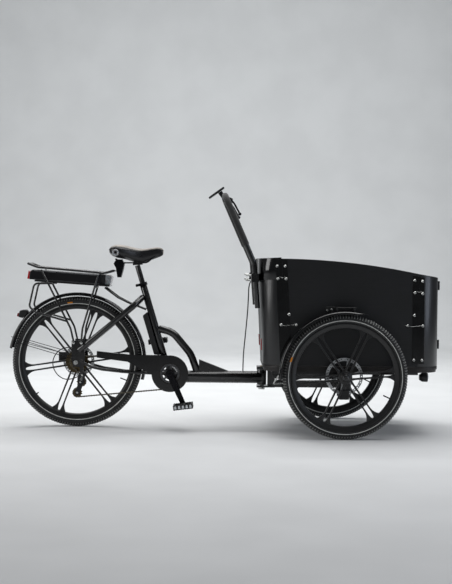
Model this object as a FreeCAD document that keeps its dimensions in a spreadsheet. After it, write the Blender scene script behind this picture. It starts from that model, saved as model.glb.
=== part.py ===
import FreeCAD, Part
import math
import os
import re
import Sketcher
from FreeCAD import Vector

# Three-wheeled cargo bicycle. +X is forward, +Y is the rider's left, +Z is up, and the
# origin is on the ground under the middle of the bicycle.
# Millimetres and degrees. "reach" values are counted forward from the rear axle.
SIZES = {
    # wheels
    "rear_wheel_radius": 332, "rear_tyre_width": 54, "rear_tyre_height": 48, "rear_rim_height": 16,
    "front_wheel_radius": 299, "front_tyre_width": 47, "front_tyre_height": 41, "front_rim_height": 22,
    "wheelbase": 1330, "wheel_side_gap": 72, "spoke_pairs": 6, "spoke_gap": 26, "spoke_width": 7.5,
    "spoke_depth": 14, "rim_half": 17, "hub_flange": 30, "disc_radius": 90, "rear_disc_radius": 80,
    "disc_band": 15, "disc_thick": 2, "rear_spoke_turn": 9, "front_spoke_turn": 5,
    # clearances
    "running_gap": 0.05, "skin_gap": 0.4,
    # rear frame
    "bracket_reach": 475, "bracket_rise": 18.5, "bracket_radius": 27, "bracket_half": 36,
    "pivot_reach": 942, "pivot_drop": 40.5, "pivot_radius": 24, "pivot_lip": 6, "kingpin_radius": 12,
    "main_tube_radius": 31, "main_tube_wall": 3, "seat_tube_radius": 17.5, "seat_lean": 16.7,
    "seat_tube_length": 466, "post_radius": 13.6, "post_show": 106, "stay_radius": 15,
    "chainstay_radius": 7, "chainstay_side": 35.5, "arch_radius": 19, "arch_length": 232,
    "dropout_half": 67.5, "dropout_thick": 7, "axle_radius": 5, "gusset_length": 150,
    "gusset_height": 58, "gusset_thick": 24,
    # transmission
    "chain_side": 47, "ring_teeth": 38, "cassette_teeth": 16, "pulley_teeth": 11, "chain_pitch": 12.7,
    "tooth_thick": 2, "link_half": 4, "link_inside": 2.6, "link_thick": 1.2, "crank_length": 170,
    "crank_angle": 65, "crank_side": 72, "crank_thick": 14, "spindle_radius": 8, "pedal_long": 98,
    "pedal_wide": 96, "pedal_thick": 24, "guard_disc_radius": 93, "guard_eye_radius": 52,
    # rear mudguard, rack and battery
    "rear_guard_gap": 21, "guard_wall": 2, "rear_guard_half": 33, "rear_guard_tip": 11,
    "rear_guard_span": 184, "rack_half": 66, "rack_rod": 6, "battery_half": 56, "battery_slope": 3.6,
    "battery_length": 430, "battery_height": 50, "battery_rear": 252, "battery_clear": 66,
    # front carrier
    "box_rear": 940, "box_front": 1799, "box_half": 318, "box_corner": 110, "box_wall": 12,
    "box_floor_rise": 45, "box_height": 521, "box_lean": 3, "box_nose": 433, "box_shoulder": 452,
    "floor_thick": 16, "strap_width": 56, "strap_thick": 2.5, "hinge_reach": 13, "door_half": 196,
    "axle_plate_gap": 12, "axle_plate_thick": 8, "stub_radius": 8, "front_guard_gap": 19,
    "front_guard_half": 30, "front_guard_start": 68, "front_guard_span": 114,
    # handlebar
    "bar_radius": 12.5, "bar_half": 250, "bar_wall": 2, "grip_wall": 3, "bar_low_x": 911, "bar_low_z": 621,
    "bar_bend_x": 893, "bar_bend_z": 842, "bar_top_x": 748, "bar_top_z": 1172, "clamp_z": 770,
    # saddle
    "saddle_half": 98, "saddle_nose_half": 30,
}
# Sizes that follow from others.
TIED = {
    "rear_bead_radius": "rear_wheel_radius-rear_tyre_height",
    "rear_rim_inner": "rear_bead_radius-rear_rim_height",
    "front_bead_radius": "front_wheel_radius-front_tyre_height",
    "front_rim_inner": "front_bead_radius-front_rim_height",
    "track_half": "box_half+wheel_side_gap",
    "axle_plate": "box_half+axle_plate_gap",
    "pivot_half": "main_tube_radius+pivot_lip",
    "rear_guard_radius": "rear_wheel_radius+rear_guard_gap",
    "battery_rise": "rear_guard_radius+battery_clear",
    "rack_rise": "battery_rise+battery_height",
}

doc = FreeCAD.newDocument("cargo_bicycle")
sheet = doc.addObject("Spreadsheet::Sheet", "Sizes")
for row, (alias, size) in enumerate([*SIZES.items(), *TIED.items()], 1):
    sheet.set("A%d" % row, alias)
    sheet.set("B%d" % row, "=" + str(size))
    sheet.setAlias("B%d" % row, alias)
doc.recompute()

ALIASES = re.compile(r"\b(" + "|".join(sorted([*SIZES, *TIED], key=len, reverse=True)) + r")\b")
PIECES = {}


def bound(text):
    """Write a formula of size names the way the document's expressions want it."""
    return ALIASES.sub(r"Sizes.\1", str(text))


def value(text):
    """Work a formula out now, for features that are not driven by expressions."""
    result = sheet.evalExpression(bound(text))
    return float(getattr(result, "Value", result))


def point(place):
    return Vector(*(value(part) for part in place))


def node(name, piece):
    """Name a finished piece; its label names its file."""
    piece.Label = name
    PIECES[name] = piece
    return piece


def place(piece, at=("0", "0", "0"), axis=(0, 1, 0), turn="0"):
    where = "create(<<vector>>; %s; %s; %s)" % tuple(at)
    swing = "create(<<rotation>>; create(<<vector>>; %s; %s; %s); %s)" % (*axis, turn)
    piece.setExpression("Placement", bound("create(<<placement>>; %s; %s)" % (where, swing)))
    return piece


def rod(name, start, end, radius, bore=None):
    """A straight round bar, or a tube if it has a bore, between two points (end not below start)."""
    run = ["((%s)-(%s))" % pair for pair in zip(end, start)]
    length = "sqrt(%s^2+%s^2+%s^2)" % tuple(run)
    axis = ("-%s" % run[1], run[0], "0")
    parts = []
    for suffix, size in (("", radius), ("_bore", bore)):
        if size is None:
            continue
        bar = doc.addObject("Part::Cylinder", name + suffix)
        bar.setExpression("Radius", bound(size))
        bar.setExpression("Height", bound(length))
        place(bar, start, axis, "acos(%s/%s)" % (run[2], length))
        parts.append(bar)
    return parts[0] if bore is None else cut(name + "_tube", *parts)


def block(name, low, high):
    """A square block between two corners."""
    piece = doc.addObject("Part::Box", name)
    for size, first, last in zip(("Length", "Width", "Height"), low, high):
        piece.setExpression(size, bound("(%s)-(%s)" % (last, first)))
    return place(piece, low)


def cut(name, base, tool):
    piece = doc.addObject("Part::Cut", name)
    piece.Base = base
    piece.Tool = tool
    return piece


def fuse(name, *members):
    piece = doc.addObject("Part::MultiFuse", name)
    piece.Shapes = list(members)
    return piece


def group(name, *members):
    """Several separate solids of one kind, kept in one node."""
    piece = doc.addObject("Part::Compound", name)
    piece.Links = list(members)
    return piece


def common(name, *members):
    piece = doc.addObject("Part::MultiCommon", name)
    piece.Shapes = list(members)
    return piece


def solid(name, shape):
    piece = doc.addObject("Part::Feature", name)
    piece.Shape = shape
    return piece


def route(points, bend):
    """Straight runs joined by tangent arcs of one radius, or less where a run is short."""
    corners = [point(place_) for place_ in points]
    edges = []
    start = corners[0]
    for before, corner, after in zip(corners, corners[1:], corners[2:]):
        back = (before - corner).normalize()
        ahead = (after - corner).normalize()
        half_turn = (math.pi - back.getAngle(ahead)) / 2
        shorter = min((before - corner).Length, (after - corner).Length)
        reach = min(bend * math.tan(half_turn), 0.45 * shorter)
        radius = reach / math.tan(half_turn)
        inside = (back + ahead).normalize()
        middle = corner + inside * (math.hypot(radius, reach) - radius)
        edges.append(Part.LineSegment(start, corner + back * reach).toShape())
        edges.append(Part.Arc(corner + back * reach, middle, corner + ahead * reach).toShape())
        start = corner + ahead * reach
    edges.append(Part.LineSegment(start, corners[-1]).toShape())
    return Part.Wire(edges)


def bent(name, points, radius, bend, bore=None):
    """A bent rod or tube. Its route is not flat in general, so it is swept in the part's own code."""
    path = route(points, bend)
    start = path.Edges[0].valueAt(path.Edges[0].FirstParameter)
    heading = path.Edges[0].tangentAt(path.Edges[0].FirstParameter)
    bars = [path.makePipeShell([Part.Wire(Part.Circle(start, heading, value(size)).toShape())], True, False)
            for size in (radius, bore) if size is not None]
    return solid(name, bars[0] if bore is None else bars[0].cut(bars[1]))


def mirror(name, source):
    piece = doc.addObject("Part::Mirroring", name)
    piece.Source = source
    piece.Base = Vector(0, 0, 0)
    piece.Normal = Vector(0, 1, 0)
    return piece


def pair(name, source):
    """A piece and its mirror image on the other side of the bicycle, in one node."""
    return node(name, group(name, source, mirror(name + "_other", source)))


def body(name):
    return doc.addObject("PartDesign::Body", name)


def plane(owner, role):
    return next(flat for flat in owner.Origin.OriginFeatures if flat.Role == role)


def sketch(owner, role, offset="0"):
    drawing = owner.newObject("Sketcher::SketchObject", owner.Name + "_sketch")
    drawing.AttachmentSupport = [(plane(owner, role), "")]
    drawing.MapMode = "FlatFace"
    drawing.setExpression("AttachmentOffset.Base.z", bound(offset))
    return drawing


def pin(drawing, kind, geometry, vertex, formula):
    index = drawing.addConstraint(Sketcher.Constraint(kind, -1, 1, geometry, vertex, value(formula)))
    drawing.setExpression("Constraints[%d]" % index, bound(formula))


def circle(drawing, centre, radius):
    where = Vector(value(centre[0]), value(centre[1]), 0)
    index = drawing.addGeometry(Part.Circle(where, Vector(0, 0, 1), value(radius)))
    pin(drawing, "DistanceX", index, 3, centre[0])
    pin(drawing, "DistanceY", index, 3, centre[1])
    size = drawing.addConstraint(Sketcher.Constraint("Radius", index, value(radius)))
    drawing.setExpression("Constraints[%d]" % size, bound(radius))
    return drawing


def outline(drawing, corners):
    """A closed outline. A corner's third value is how far the edge that leaves it bulges to its left."""
    flat = [Vector(value(corner[0]), value(corner[1]), 0) for corner in corners]
    ends = []
    for number, corner in enumerate(corners):
        first, last = flat[number], flat[(number + 1) % len(flat)]
        if len(corner) == 2:
            index = drawing.addGeometry(Part.LineSegment(first, last))
            ends.append((index, 1, 2))
            continue
        bulge = value(corner[2])
        chord = last - first
        radius = (chord.Length ** 2 / 4 + bulge ** 2) / (2 * abs(bulge))
        left = Vector(-chord.y, chord.x, 0).normalize()
        centre = (first + last) * 0.5 + left * (bulge - math.copysign(radius, bulge))
        turns = [math.atan2(tip.y - centre.y, tip.x - centre.x) for tip in (first, last)]
        if bulge > 0:
            turns.reverse()
        if turns[1] < turns[0]:
            turns[1] += 2 * math.pi
        whole = Part.Circle(centre, Vector(0, 0, 1), radius)
        index = drawing.addGeometry(Part.ArcOfCircle(whole, turns[0], turns[1]))
        ends.append((index, 2, 1) if bulge > 0 else (index, 1, 2))
        after = corners[(number + 1) % len(corners)]
        span = "((%s)-(%s))^2+((%s)-(%s))^2" % (after[0], corner[0], after[1], corner[1])
        size = drawing.addConstraint(Sketcher.Constraint("Radius", index, radius))
        formula = "((%s)/4+(%s)^2)/(2*abs(%s))" % (span, corner[2], corner[2])
        drawing.setExpression("Constraints[%d]" % size, bound(formula))
    for number, (index, head, tail) in enumerate(ends):
        following = ends[(number + 1) % len(ends)]
        drawing.addConstraint(Sketcher.Constraint("Coincident", index, tail, following[0], following[1]))
        pin(drawing, "DistanceX", index, head, corners[number][0])
        pin(drawing, "DistanceY", index, head, corners[number][1])
    return drawing


def pad(owner, drawing, length, both_ways=False):
    feature = owner.newObject("PartDesign::Pad", owner.Name + "_pad")
    feature.Profile = drawing
    feature.setExpression("Length", bound(length))
    if both_ways:
        feature.SideType = "Symmetric"
    return feature


def pocket_through(owner, drawing):
    feature = owner.newObject("PartDesign::Pocket", owner.Name + "_pocket")
    feature.Profile = drawing
    feature.Type = "ThroughAll"
    feature.SideType = "Symmetric"
    return feature


def revolve(owner, drawing, angle="360"):
    feature = owner.newObject("PartDesign::Revolution", owner.Name + "_turned")
    feature.Profile = drawing
    feature.ReferenceAxis = (drawing, ["H_Axis"])
    feature.setExpression("Angle", bound(angle))
    return feature


def repeat_round(owner, drawing, original, count):
    feature = owner.newObject("PartDesign::PolarPattern", owner.Name + "_round")
    feature.Originals = [original]
    feature.Axis = (drawing, ["N_Axis"])
    feature.Angle = 360
    feature.setExpression("Occurrences", bound(count))
    owner.Tip = feature
    return feature


def turned(name, profile, at=("0", "0", "0"), angle="360", turn="0"):
    """A piece turned about an axis along Y. The profile is (along Y, radius)."""
    piece = body(name)
    revolve(piece, outline(sketch(piece, "YZ_Plane"), profile), angle)
    return place(piece, at, (0, 1, 0), turn)


def side_plate(name, corners, high_y, thick, holes=()):
    """A plate cut to a side view and lying from high_y towards the right by its thickness."""
    piece = body(name)
    drawing = outline(sketch(piece, "XZ_Plane", "-(%s)" % high_y), corners)
    for centre, radius in holes:
        circle(drawing, centre, radius)
    pad(piece, drawing, thick)
    return piece


def top_plate(name, corners, low_z, thick):
    """A plate cut to a plan view and lying upwards from low_z."""
    piece = body(name)
    pad(piece, outline(sketch(piece, "XY_Plane", low_z), corners), thick)
    return piece


# Places that everything else is counted from.
REAR_REACH = "(rear_guard_radius*cos(rear_guard_tip))"
REAR = "(-(box_front+hinge_reach-%s)/2)" % REAR_REACH
AXLE_Z = "rear_wheel_radius"
FRONT = "(%s+wheelbase)" % REAR
FRONT_Z = "front_wheel_radius"
PIVOT = "(%s+pivot_reach)" % REAR
PIVOT_Z = "(front_wheel_radius-pivot_drop)"
BRACKET = "(%s+bracket_reach)" % REAR
BRACKET_Z = "(%s+bracket_rise)" % PIVOT_Z
FLOOR_Z = "(front_wheel_radius+box_floor_rise)"
SIDES = (("right", -1), ("left", 1))


def ahead(distance):
    """X of a place this far forward of the rear axle."""
    return "(%s+(%s))" % (REAR, distance)


def over_axle(height):
    return "(%s+(%s))" % (AXLE_Z, height)


def over_front(height):
    return "(%s+(%s))" % (FRONT_Z, height)


def up_seat(distance, rearward=0):
    """A place this far up the seat tube from the bracket, and this far behind its axis."""
    x = "(%s-8-(%s)*sin(seat_lean)-(%s)*cos(seat_lean))" % (BRACKET, distance, rearward)
    z = "(%s+(%s)*cos(seat_lean)-(%s)*sin(seat_lean))" % (BRACKET_Z, distance, rearward)
    return x, z


# ---------------------------------------------------------------- wheels
def make_wheel(side, kind, at, disc_way, bore):
    """Tyre, cast wheel and brake disc. disc_way is the side of the wheel, along Y, that the disc is on."""
    radius, width = kind + "_wheel_radius", kind + "_tyre_width"
    bead, inner = kind + "_bead_radius", kind + "_rim_inner"
    centre = "(%s-%s/2)" % (radius, width)
    chord = "sqrt((%s/2)^2-(%s-%s)^2)" % (width, centre, bead)
    label = kind if kind == "rear" else "front_" + side
    tyre = body(label + "_tyre")
    # The tyre's section is a circle cut off flat at the rim.
    bulge = "(%s-%s)" % (radius, bead)
    revolve(tyre, outline(sketch(tyre, "YZ_Plane"), [("-" + chord, bead, bulge), (chord, bead)]))
    node(label + "_tyre", place(tyre, at))

    wheel = body(label + "_cast_wheel")
    rim = [("-rim_half", bead), ("-rim_half", bead + "-7"), ("-rim_half/2", inner),
           ("rim_half/2", inner), ("rim_half", bead + "-7"), ("rim_half", bead)]
    revolve(wheel, outline(sketch(wheel, "YZ_Plane"), rim))
    near, far = "(spoke_gap/2-spoke_width/2)", "(spoke_gap/2+spoke_width/2)"
    bars = sketch(wheel, "XZ_Plane")
    for sign in ("", "-"):
        flare = [("hub_flange-6", near), (inner + "+2", near), (inner + "+2", far + "+24"),
                 (inner + "-12", far + "+8"), (inner + "-42", far), ("hub_flange-6", far)]
        outline(bars, [(x, "%s(%s)" % (sign, z)) for x, z in flare])
    spokes = pad(wheel, bars, "spoke_depth", both_ways=True)
    repeat_round(wheel, bars, spokes, "spoke_pairs")
    hub = HUBS[kind]
    revolve(wheel, outline(sketch(wheel, "YZ_Plane"),
                           [("%d*(%s)" % (disc_way, y), r) for y, r in hub + [(hub[0][0], bore), (hub[-1][0], bore)][::-1]]))
    place(wheel, at, (0, 1, 0), "-%s_spoke_turn" % kind)

    disc = body(label + "_brake_disc")
    size = "disc_radius" if kind == "front" else "rear_disc_radius"
    at_side = "%d*%s" % (-disc_way, DISC_PLACE[kind])
    ring = circle(circle(sketch(disc, "XZ_Plane", at_side), ("0", "0"), size), ("0", "0"), size + "-disc_band")
    pad(disc, ring, "disc_thick", both_ways=True)
    arm = outline(sketch(disc, "XZ_Plane", at_side),
                  [("20", "-3"), (size + "-disc_band+1", "22"), (size + "-disc_band+1", "29"), ("20", "6")])
    arm_pad = pad(disc, arm, "disc_thick", both_ways=True)
    repeat_round(disc, arm, arm_pad, "6")
    heart = circle(circle(sketch(disc, "XZ_Plane", at_side), ("0", "0"), "25"), ("0", "0"), "17")
    pad(disc, heart, "disc_thick", both_ways=True)
    slots = sketch(disc, "XZ_Plane", at_side)
    circle(slots, (size + "-disc_band/2+1", "0"), "3")
    circle(slots, (size + "-disc_band/2-3", "11"), "2.5")
    holes = pocket_through(disc, slots)
    repeat_round(disc, slots, holes, "18")
    node(label + "_cast_wheel", group(label + "_wheel_set", wheel, place(disc, at)))


# Hub outlines, as (towards the disc along the axle, radius), and where the disc is clamped.
HUBS = {
    "rear": [("-20", "hub_flange"), ("14", "hub_flange"), ("14", "17"), ("60", "17")],
    "front": [("-30", "20"), ("-14", "22"), ("-14", "hub_flange"), ("14", "hub_flange"), ("14", "17"), ("48", "17")],
}
DISC_PLACE = {"rear": "49", "front": "43"}
make_wheel("rear", "rear", (REAR, "0", AXLE_Z), 1, "axle_radius+running_gap")
for side, sign in SIDES:
    make_wheel(side, "front", (FRONT, "%d*track_half" % sign, FRONT_Z), -sign, "stub_radius+running_gap")

# ---------------------------------------------------------------- rear frame
tube_outside = rod("main_tube_outside", (BRACKET, "0", PIVOT_Z), (PIVOT, "0", PIVOT_Z), "main_tube_radius")
tube_inside = rod("main_tube_inside", (BRACKET + "+bracket_radius+2", "0", PIVOT_Z),
                  (PIVOT + "-pivot_radius-2", "0", PIVOT_Z), "main_tube_radius-main_tube_wall")
head_ends = (PIVOT, "0", PIVOT_Z + "-pivot_half"), (PIVOT, "0", PIVOT_Z + "+pivot_half")
head_outside = rod("head_outside", *head_ends, "pivot_radius")
head_inside = rod("head_inside", *head_ends, "kingpin_radius+running_gap")
shell_ends = (BRACKET, "-bracket_half", BRACKET_Z), (BRACKET, "bracket_half", BRACKET_Z)
shell_outside = rod("shell_outside", *shell_ends, "bracket_radius+5")
shell_inside = rod("shell_inside", *shell_ends, "bracket_radius-7")
main_tube = cut("main_tube_bored", fuse("main_tube_welded", tube_outside, head_outside, shell_outside),
                group("main_tube_bores", tube_inside, head_inside, shell_inside))
node("main_tube", main_tube)
cups = [rod("bearing_cup", (BRACKET, "%s" % low, BRACKET_Z), (BRACKET, "%s" % high, BRACKET_Z),
            "bracket_radius-7", "spindle_radius+running_gap")
        for low, high in (("-bracket_half-3", "-bracket_half+14"), ("bracket_half-14", "bracket_half+3"))]
node("bearing_cups", group("bearing_cups", *cups))

seat_low, seat_high = up_seat("bracket_radius+4"), up_seat("seat_tube_length")
seat_tube = rod("seat_tube", (seat_low[0], "0", seat_low[1]), (seat_high[0], "0", seat_high[1]),
                "seat_tube_radius", "post_radius")
node("seat_tube", cut("seat_tube_coped", seat_tube, tube_outside))
arch_top = up_seat("arch_length", "-seat_tube_radius+4")
arch = bent("arch_tube", [(arch_top[0], "0", arch_top[1]),
                          (arch_top[0] + "+72", "0", arch_top[1] + "-18"),
                          (BRACKET + "+104", "0", PIVOT_Z + "+115"),
                          (BRACKET + "+136", "0", PIVOT_Z + "+main_tube_radius-4")],
            "arch_radius", 150, "arch_radius-2")
GUSSET_FOOT = BRACKET + "+146"
gusset = side_plate("gusset", [
    (GUSSET_FOOT, PIVOT_Z + "+main_tube_radius-5"),
    (GUSSET_FOOT + "+gusset_length", PIVOT_Z + "+main_tube_radius-5"),
    (GUSSET_FOOT + "+gusset_length", PIVOT_Z + "+main_tube_radius"),
    (GUSSET_FOOT, PIVOT_Z + "+main_tube_radius+gusset_height")], "gusset_thick/2", "gusset_thick")
node("arch_tube", fuse("arch_tube_welded", arch, gusset))

STAY_TOP = up_seat("seat_tube_length-58", "seat_tube_radius+3")
seatstay = bent("seatstay", [(STAY_TOP[0], "14", STAY_TOP[1]), (STAY_TOP[0] + "-42", "53", STAY_TOP[1] + "-42"),
                             (ahead("14"), "dropout_half+dropout_thick/2", over_axle("58"))],
                "stay_radius", 60, "stay_radius-2")
pair("seatstays", seatstay)
chainstay = bent("chainstay", [(ahead("22"), "dropout_half+dropout_thick/2", over_axle("12")),
                               (ahead("66"), "dropout_half-4", over_axle("-20")),
                               (ahead("130"), "dropout_half-14", over_axle("-36")),
                               (ahead("235"), "chainstay_side", over_axle("-49")),
                               (BRACKET + "-bracket_radius+4", "chainstay_side-4", BRACKET_Z + "-4")],
                 "chainstay_radius", 90)
dropout = side_plate("dropout", [
    (ahead("-18"), over_axle("-6")), (ahead("-14"), over_axle("-20")), (ahead("20"), over_axle("-24")),
    (ahead("22"), over_axle("-70")), (ahead("36"), over_axle("-70")), (ahead("40"), over_axle("-20")),
    (ahead("46"), over_axle("16")), (ahead("42"), over_axle("110")), (ahead("-22"), over_axle("110")),
    (ahead("-22"), over_axle("20"))], "-dropout_half", "dropout_thick",
    [((REAR, AXLE_Z), "axle_radius")])
pair("chainstays", fuse("chainstay_welded", chainstay, dropout))
END = "dropout_half+dropout_thick"
node("rear_axle", turned("rear_axle", [
    ("-(%s+14)" % END, "0"), ("-(%s+14)" % END, "axle_radius"), ("-(%s+10)" % END, "axle_radius"),
    ("-(%s+10)" % END, "11"), ("-(%s)" % END, "11"), ("-(%s)" % END, "axle_radius"),
    ("-dropout_half", "axle_radius"), ("-dropout_half", "9"), ("-61", "9"), ("-61", "axle_radius"),
    ("61", "axle_radius"), ("61", "9"), ("dropout_half", "9"), ("dropout_half", "axle_radius"),
    (END, "axle_radius"), (END, "11"), (END + "+10", "11"), (END + "+10", "axle_radius"),
    (END + "+14", "axle_radius"), (END + "+14", "0")], (REAR, "0", AXLE_Z)))
box_low, box_high = up_seat("100", "seat_tube_radius"), up_seat("330", "seat_tube_radius")
deep_low, deep_high = up_seat("112", "seat_tube_radius+28"), up_seat("318", "seat_tube_radius+28")
node("controller_box", side_plate("controller_box", [box_low, box_high, deep_high, deep_low], "20", "40"))
rear_calliper = cut("rear_calliper_slotted",
                    block("rear_calliper_block", (ahead("-102"), "38", over_axle("-6")),
                          (ahead("-58"), "66.5", over_axle("42"))),
                    rod("rear_calliper_slot", (REAR, "45.5", AXLE_Z), (REAR, "52.5", AXLE_Z), "rear_disc_radius+4"))
calliper_arm = side_plate("calliper_arm", [
    (ahead("-20"), over_axle("0")), (ahead("-98"), over_axle("0")), (ahead("-98"), over_axle("36")),
    (ahead("-20"), over_axle("50"))], "70", "4")
node("rear_calliper", fuse("rear_calliper", rear_calliper, calliper_arm))

# ---------------------------------------------------------------- transmission
def sprocket_shape(teeth, thick, bore, y, at):
    """A toothed wheel about Y; y is the middle of its thickness."""
    count = int(value(teeth))
    pitch_radius = value("chain_pitch") / (2 * math.sin(math.pi / count))
    step = 2 * math.pi / count
    profile = ((-0.32, -0.16), (-0.12, 0.34), (0.12, 0.34), (0.32, -0.16))
    corners = []
    for tooth in range(count):
        for turn, rise in profile:
            angle = (tooth + 0.5 + turn) * step
            radius = pitch_radius + rise * value("chain_pitch") * 0.7
            corners.append(Vector(radius * math.cos(angle), 0, radius * math.sin(angle)))
    face = Part.Face([Part.makePolygon(corners + corners[:1]),
                      Part.Wire(Part.Circle(Vector(), Vector(0, 1, 0), value(bore)).toShape())])
    shape = face.extrude(Vector(0, value(thick), 0))
    centre = point(at)
    shape.translate(Vector(centre.x, y - value(thick) / 2, centre.z))
    return shape


def pitch_radius(teeth):
    return value("chain_pitch") / (2 * math.sin(math.pi / value(teeth)))


GUIDE = (ahead("26"), "0", over_axle("-100"))
TENSION = (ahead("6"), "0", over_axle("-155"))
CHAIN_Y = -value("chain_side")
node("chainring", solid("chainring", sprocket_shape("ring_teeth", "tooth_thick", "guard_eye_radius-8", CHAIN_Y,
                                                    (BRACKET, "0", BRACKET_Z))))
COGS = (28, 24, 21, 18, 16, 14, 12)
COG_STEP = 5
COG_BORE = "axle_radius+running_gap"
cogs = [sprocket_shape(str(count), "tooth_thick", COG_BORE, CHAIN_Y + COG_STEP * (COGS.index(16) - number),
                       (REAR, "0", AXLE_Z)) for number, count in enumerate(COGS)]
tube_low = CHAIN_Y - 2 * COG_STEP - 2
core = Part.makeCylinder(19, 6 * COG_STEP + 4, point((REAR, "0", AXLE_Z)) + Vector(0, tube_low, 0), Vector(0, 1, 0))
core = core.cut(Part.makeCylinder(value(COG_BORE), 100, point((REAR, "0", AXLE_Z)) + Vector(0, -80, 0),
                                  Vector(0, 1, 0)))
node("cassette", solid("cassette", core.fuse(cogs).removeSplitter()))
for label, spot in (("guide_pulley", GUIDE), ("tension_pulley", TENSION)):
    node(label, solid(label, sprocket_shape("pulley_teeth", "tooth_thick", "2.5+running_gap", CHAIN_Y, spot)))


def loop_wire(wheels, shift):
    """A belt line round wheels given as (x, z, radius, way round); shift moves it outwards."""
    joints = []
    count = len(wheels)
    for number in range(count):
        x1, z1, r1, way1 = wheels[number]
        x2, z2, r2, way2 = wheels[(number + 1) % count]
        r1, r2 = (r1 + shift * way1) * way1, (r2 + shift * way2) * way2
        run = math.hypot(x2 - x1, z2 - z1)
        heading = math.atan2(z2 - z1, x2 - x1)
        tilt = math.asin((r1 - r2) / run)
        normal = heading - math.pi / 2 + tilt
        side_x, side_z = math.cos(normal), math.sin(normal)
        joints.append((Vector(x1 + r1 * side_x, 0, z1 + r1 * side_z), Vector(x2 + r2 * side_x, 0, z2 + r2 * side_z)))
    edges = []
    for number in range(count):
        x, z, radius, way = wheels[number]
        arrive, leave = joints[number - 1][1], joints[number][0]
        first = math.atan2(arrive.z - z, arrive.x - x)
        last = math.atan2(leave.z - z, leave.x - x)
        turn = (last - first) % (2 * math.pi) if way > 0 else -((first - last) % (2 * math.pi))
        size = radius + shift * way
        middle = Vector(x + size * math.cos(first + turn / 2), 0, z + size * math.sin(first + turn / 2))
        edges.append(Part.Arc(arrive, middle, leave).toShape())
        edges.append(Part.LineSegment(leave, joints[number][1]).toShape())
    return Part.Wire(edges), joints


bracket, rear_centre = point((BRACKET, "0", BRACKET_Z)), point((REAR, "0", AXLE_Z))
guide, tension = point(GUIDE), point(TENSION)
LOOP = [(bracket.x, bracket.z, pitch_radius("ring_teeth"), 1),
        (rear_centre.x, rear_centre.z, pitch_radius("cassette_teeth"), 1),
        (guide.x, guide.z, pitch_radius("pulley_teeth"), -1),
        (tension.x, tension.z, pitch_radius("pulley_teeth"), 1)]
outer, _ = loop_wire(LOOP, value("link_half"))
inner, _ = loop_wire(LOOP, -value("link_half"))
_, runs = loop_wire(LOOP, 0)
link_run = Vector(0, value("link_thick"), 0)
band = Part.Face(outer).extrude(link_run).cut(Part.Face(inner).extrude(link_run))
bands = []
for low in (CHAIN_Y + value("link_inside"), CHAIN_Y - value("link_inside") - value("link_thick")):
    plate = band.copy()
    plate.translate(Vector(0, low, 0))
    bands.append(plate)
rollers = []
pitch = value("chain_pitch")
for start, end in (runs[0], runs[3]):
    length = (end - start).Length
    heading = (end - start).normalize()
    for step in range(3, int(length / pitch) - 2):
        centre = start + heading * (step * pitch) + Vector(0, CHAIN_Y - value("link_inside"), 0)
        rollers.append(Part.makeCylinder(3.2, 2 * value("link_inside"), centre, Vector(0, 1, 0)))
node("chain", solid("chain", bands[0].fuse(bands[1:] + rollers)))

CAGE_Y = -value("chain_side")
cage_corners = [(GUIDE[0] + "+13", GUIDE[2] + "+6", "-6"), (GUIDE[0] + "-11", GUIDE[2] + "+9"),
                (TENSION[0] + "-13", TENSION[2] + "-5", "-6"), (TENSION[0] + "+11", TENSION[2] + "-9")]
cage_plates = [side_plate("cage_plate", cage_corners, high, "1.6") for high in ("-chain_side+9", "-chain_side-7.4")]
cage_pins = [rod("cage_pin", (spot[0], "-chain_side-9", spot[2]), (spot[0], "-chain_side+9", spot[2]), "2.5")
             for spot in (GUIDE, TENSION)]
derailleur_body = side_plate("derailleur_body", [
    (ahead("16"), over_axle("-52")), (ahead("8"), over_axle("-74"), "-2"), (ahead("12"), over_axle("-108")),
    (ahead("38"), over_axle("-112")), (ahead("46"), over_axle("-70"), "-3"), (ahead("36"), over_axle("-52"))],
    "-chain_side-9", "11.4")
node("derailleur", fuse("derailleur", *cage_plates, *cage_pins, derailleur_body))

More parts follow.
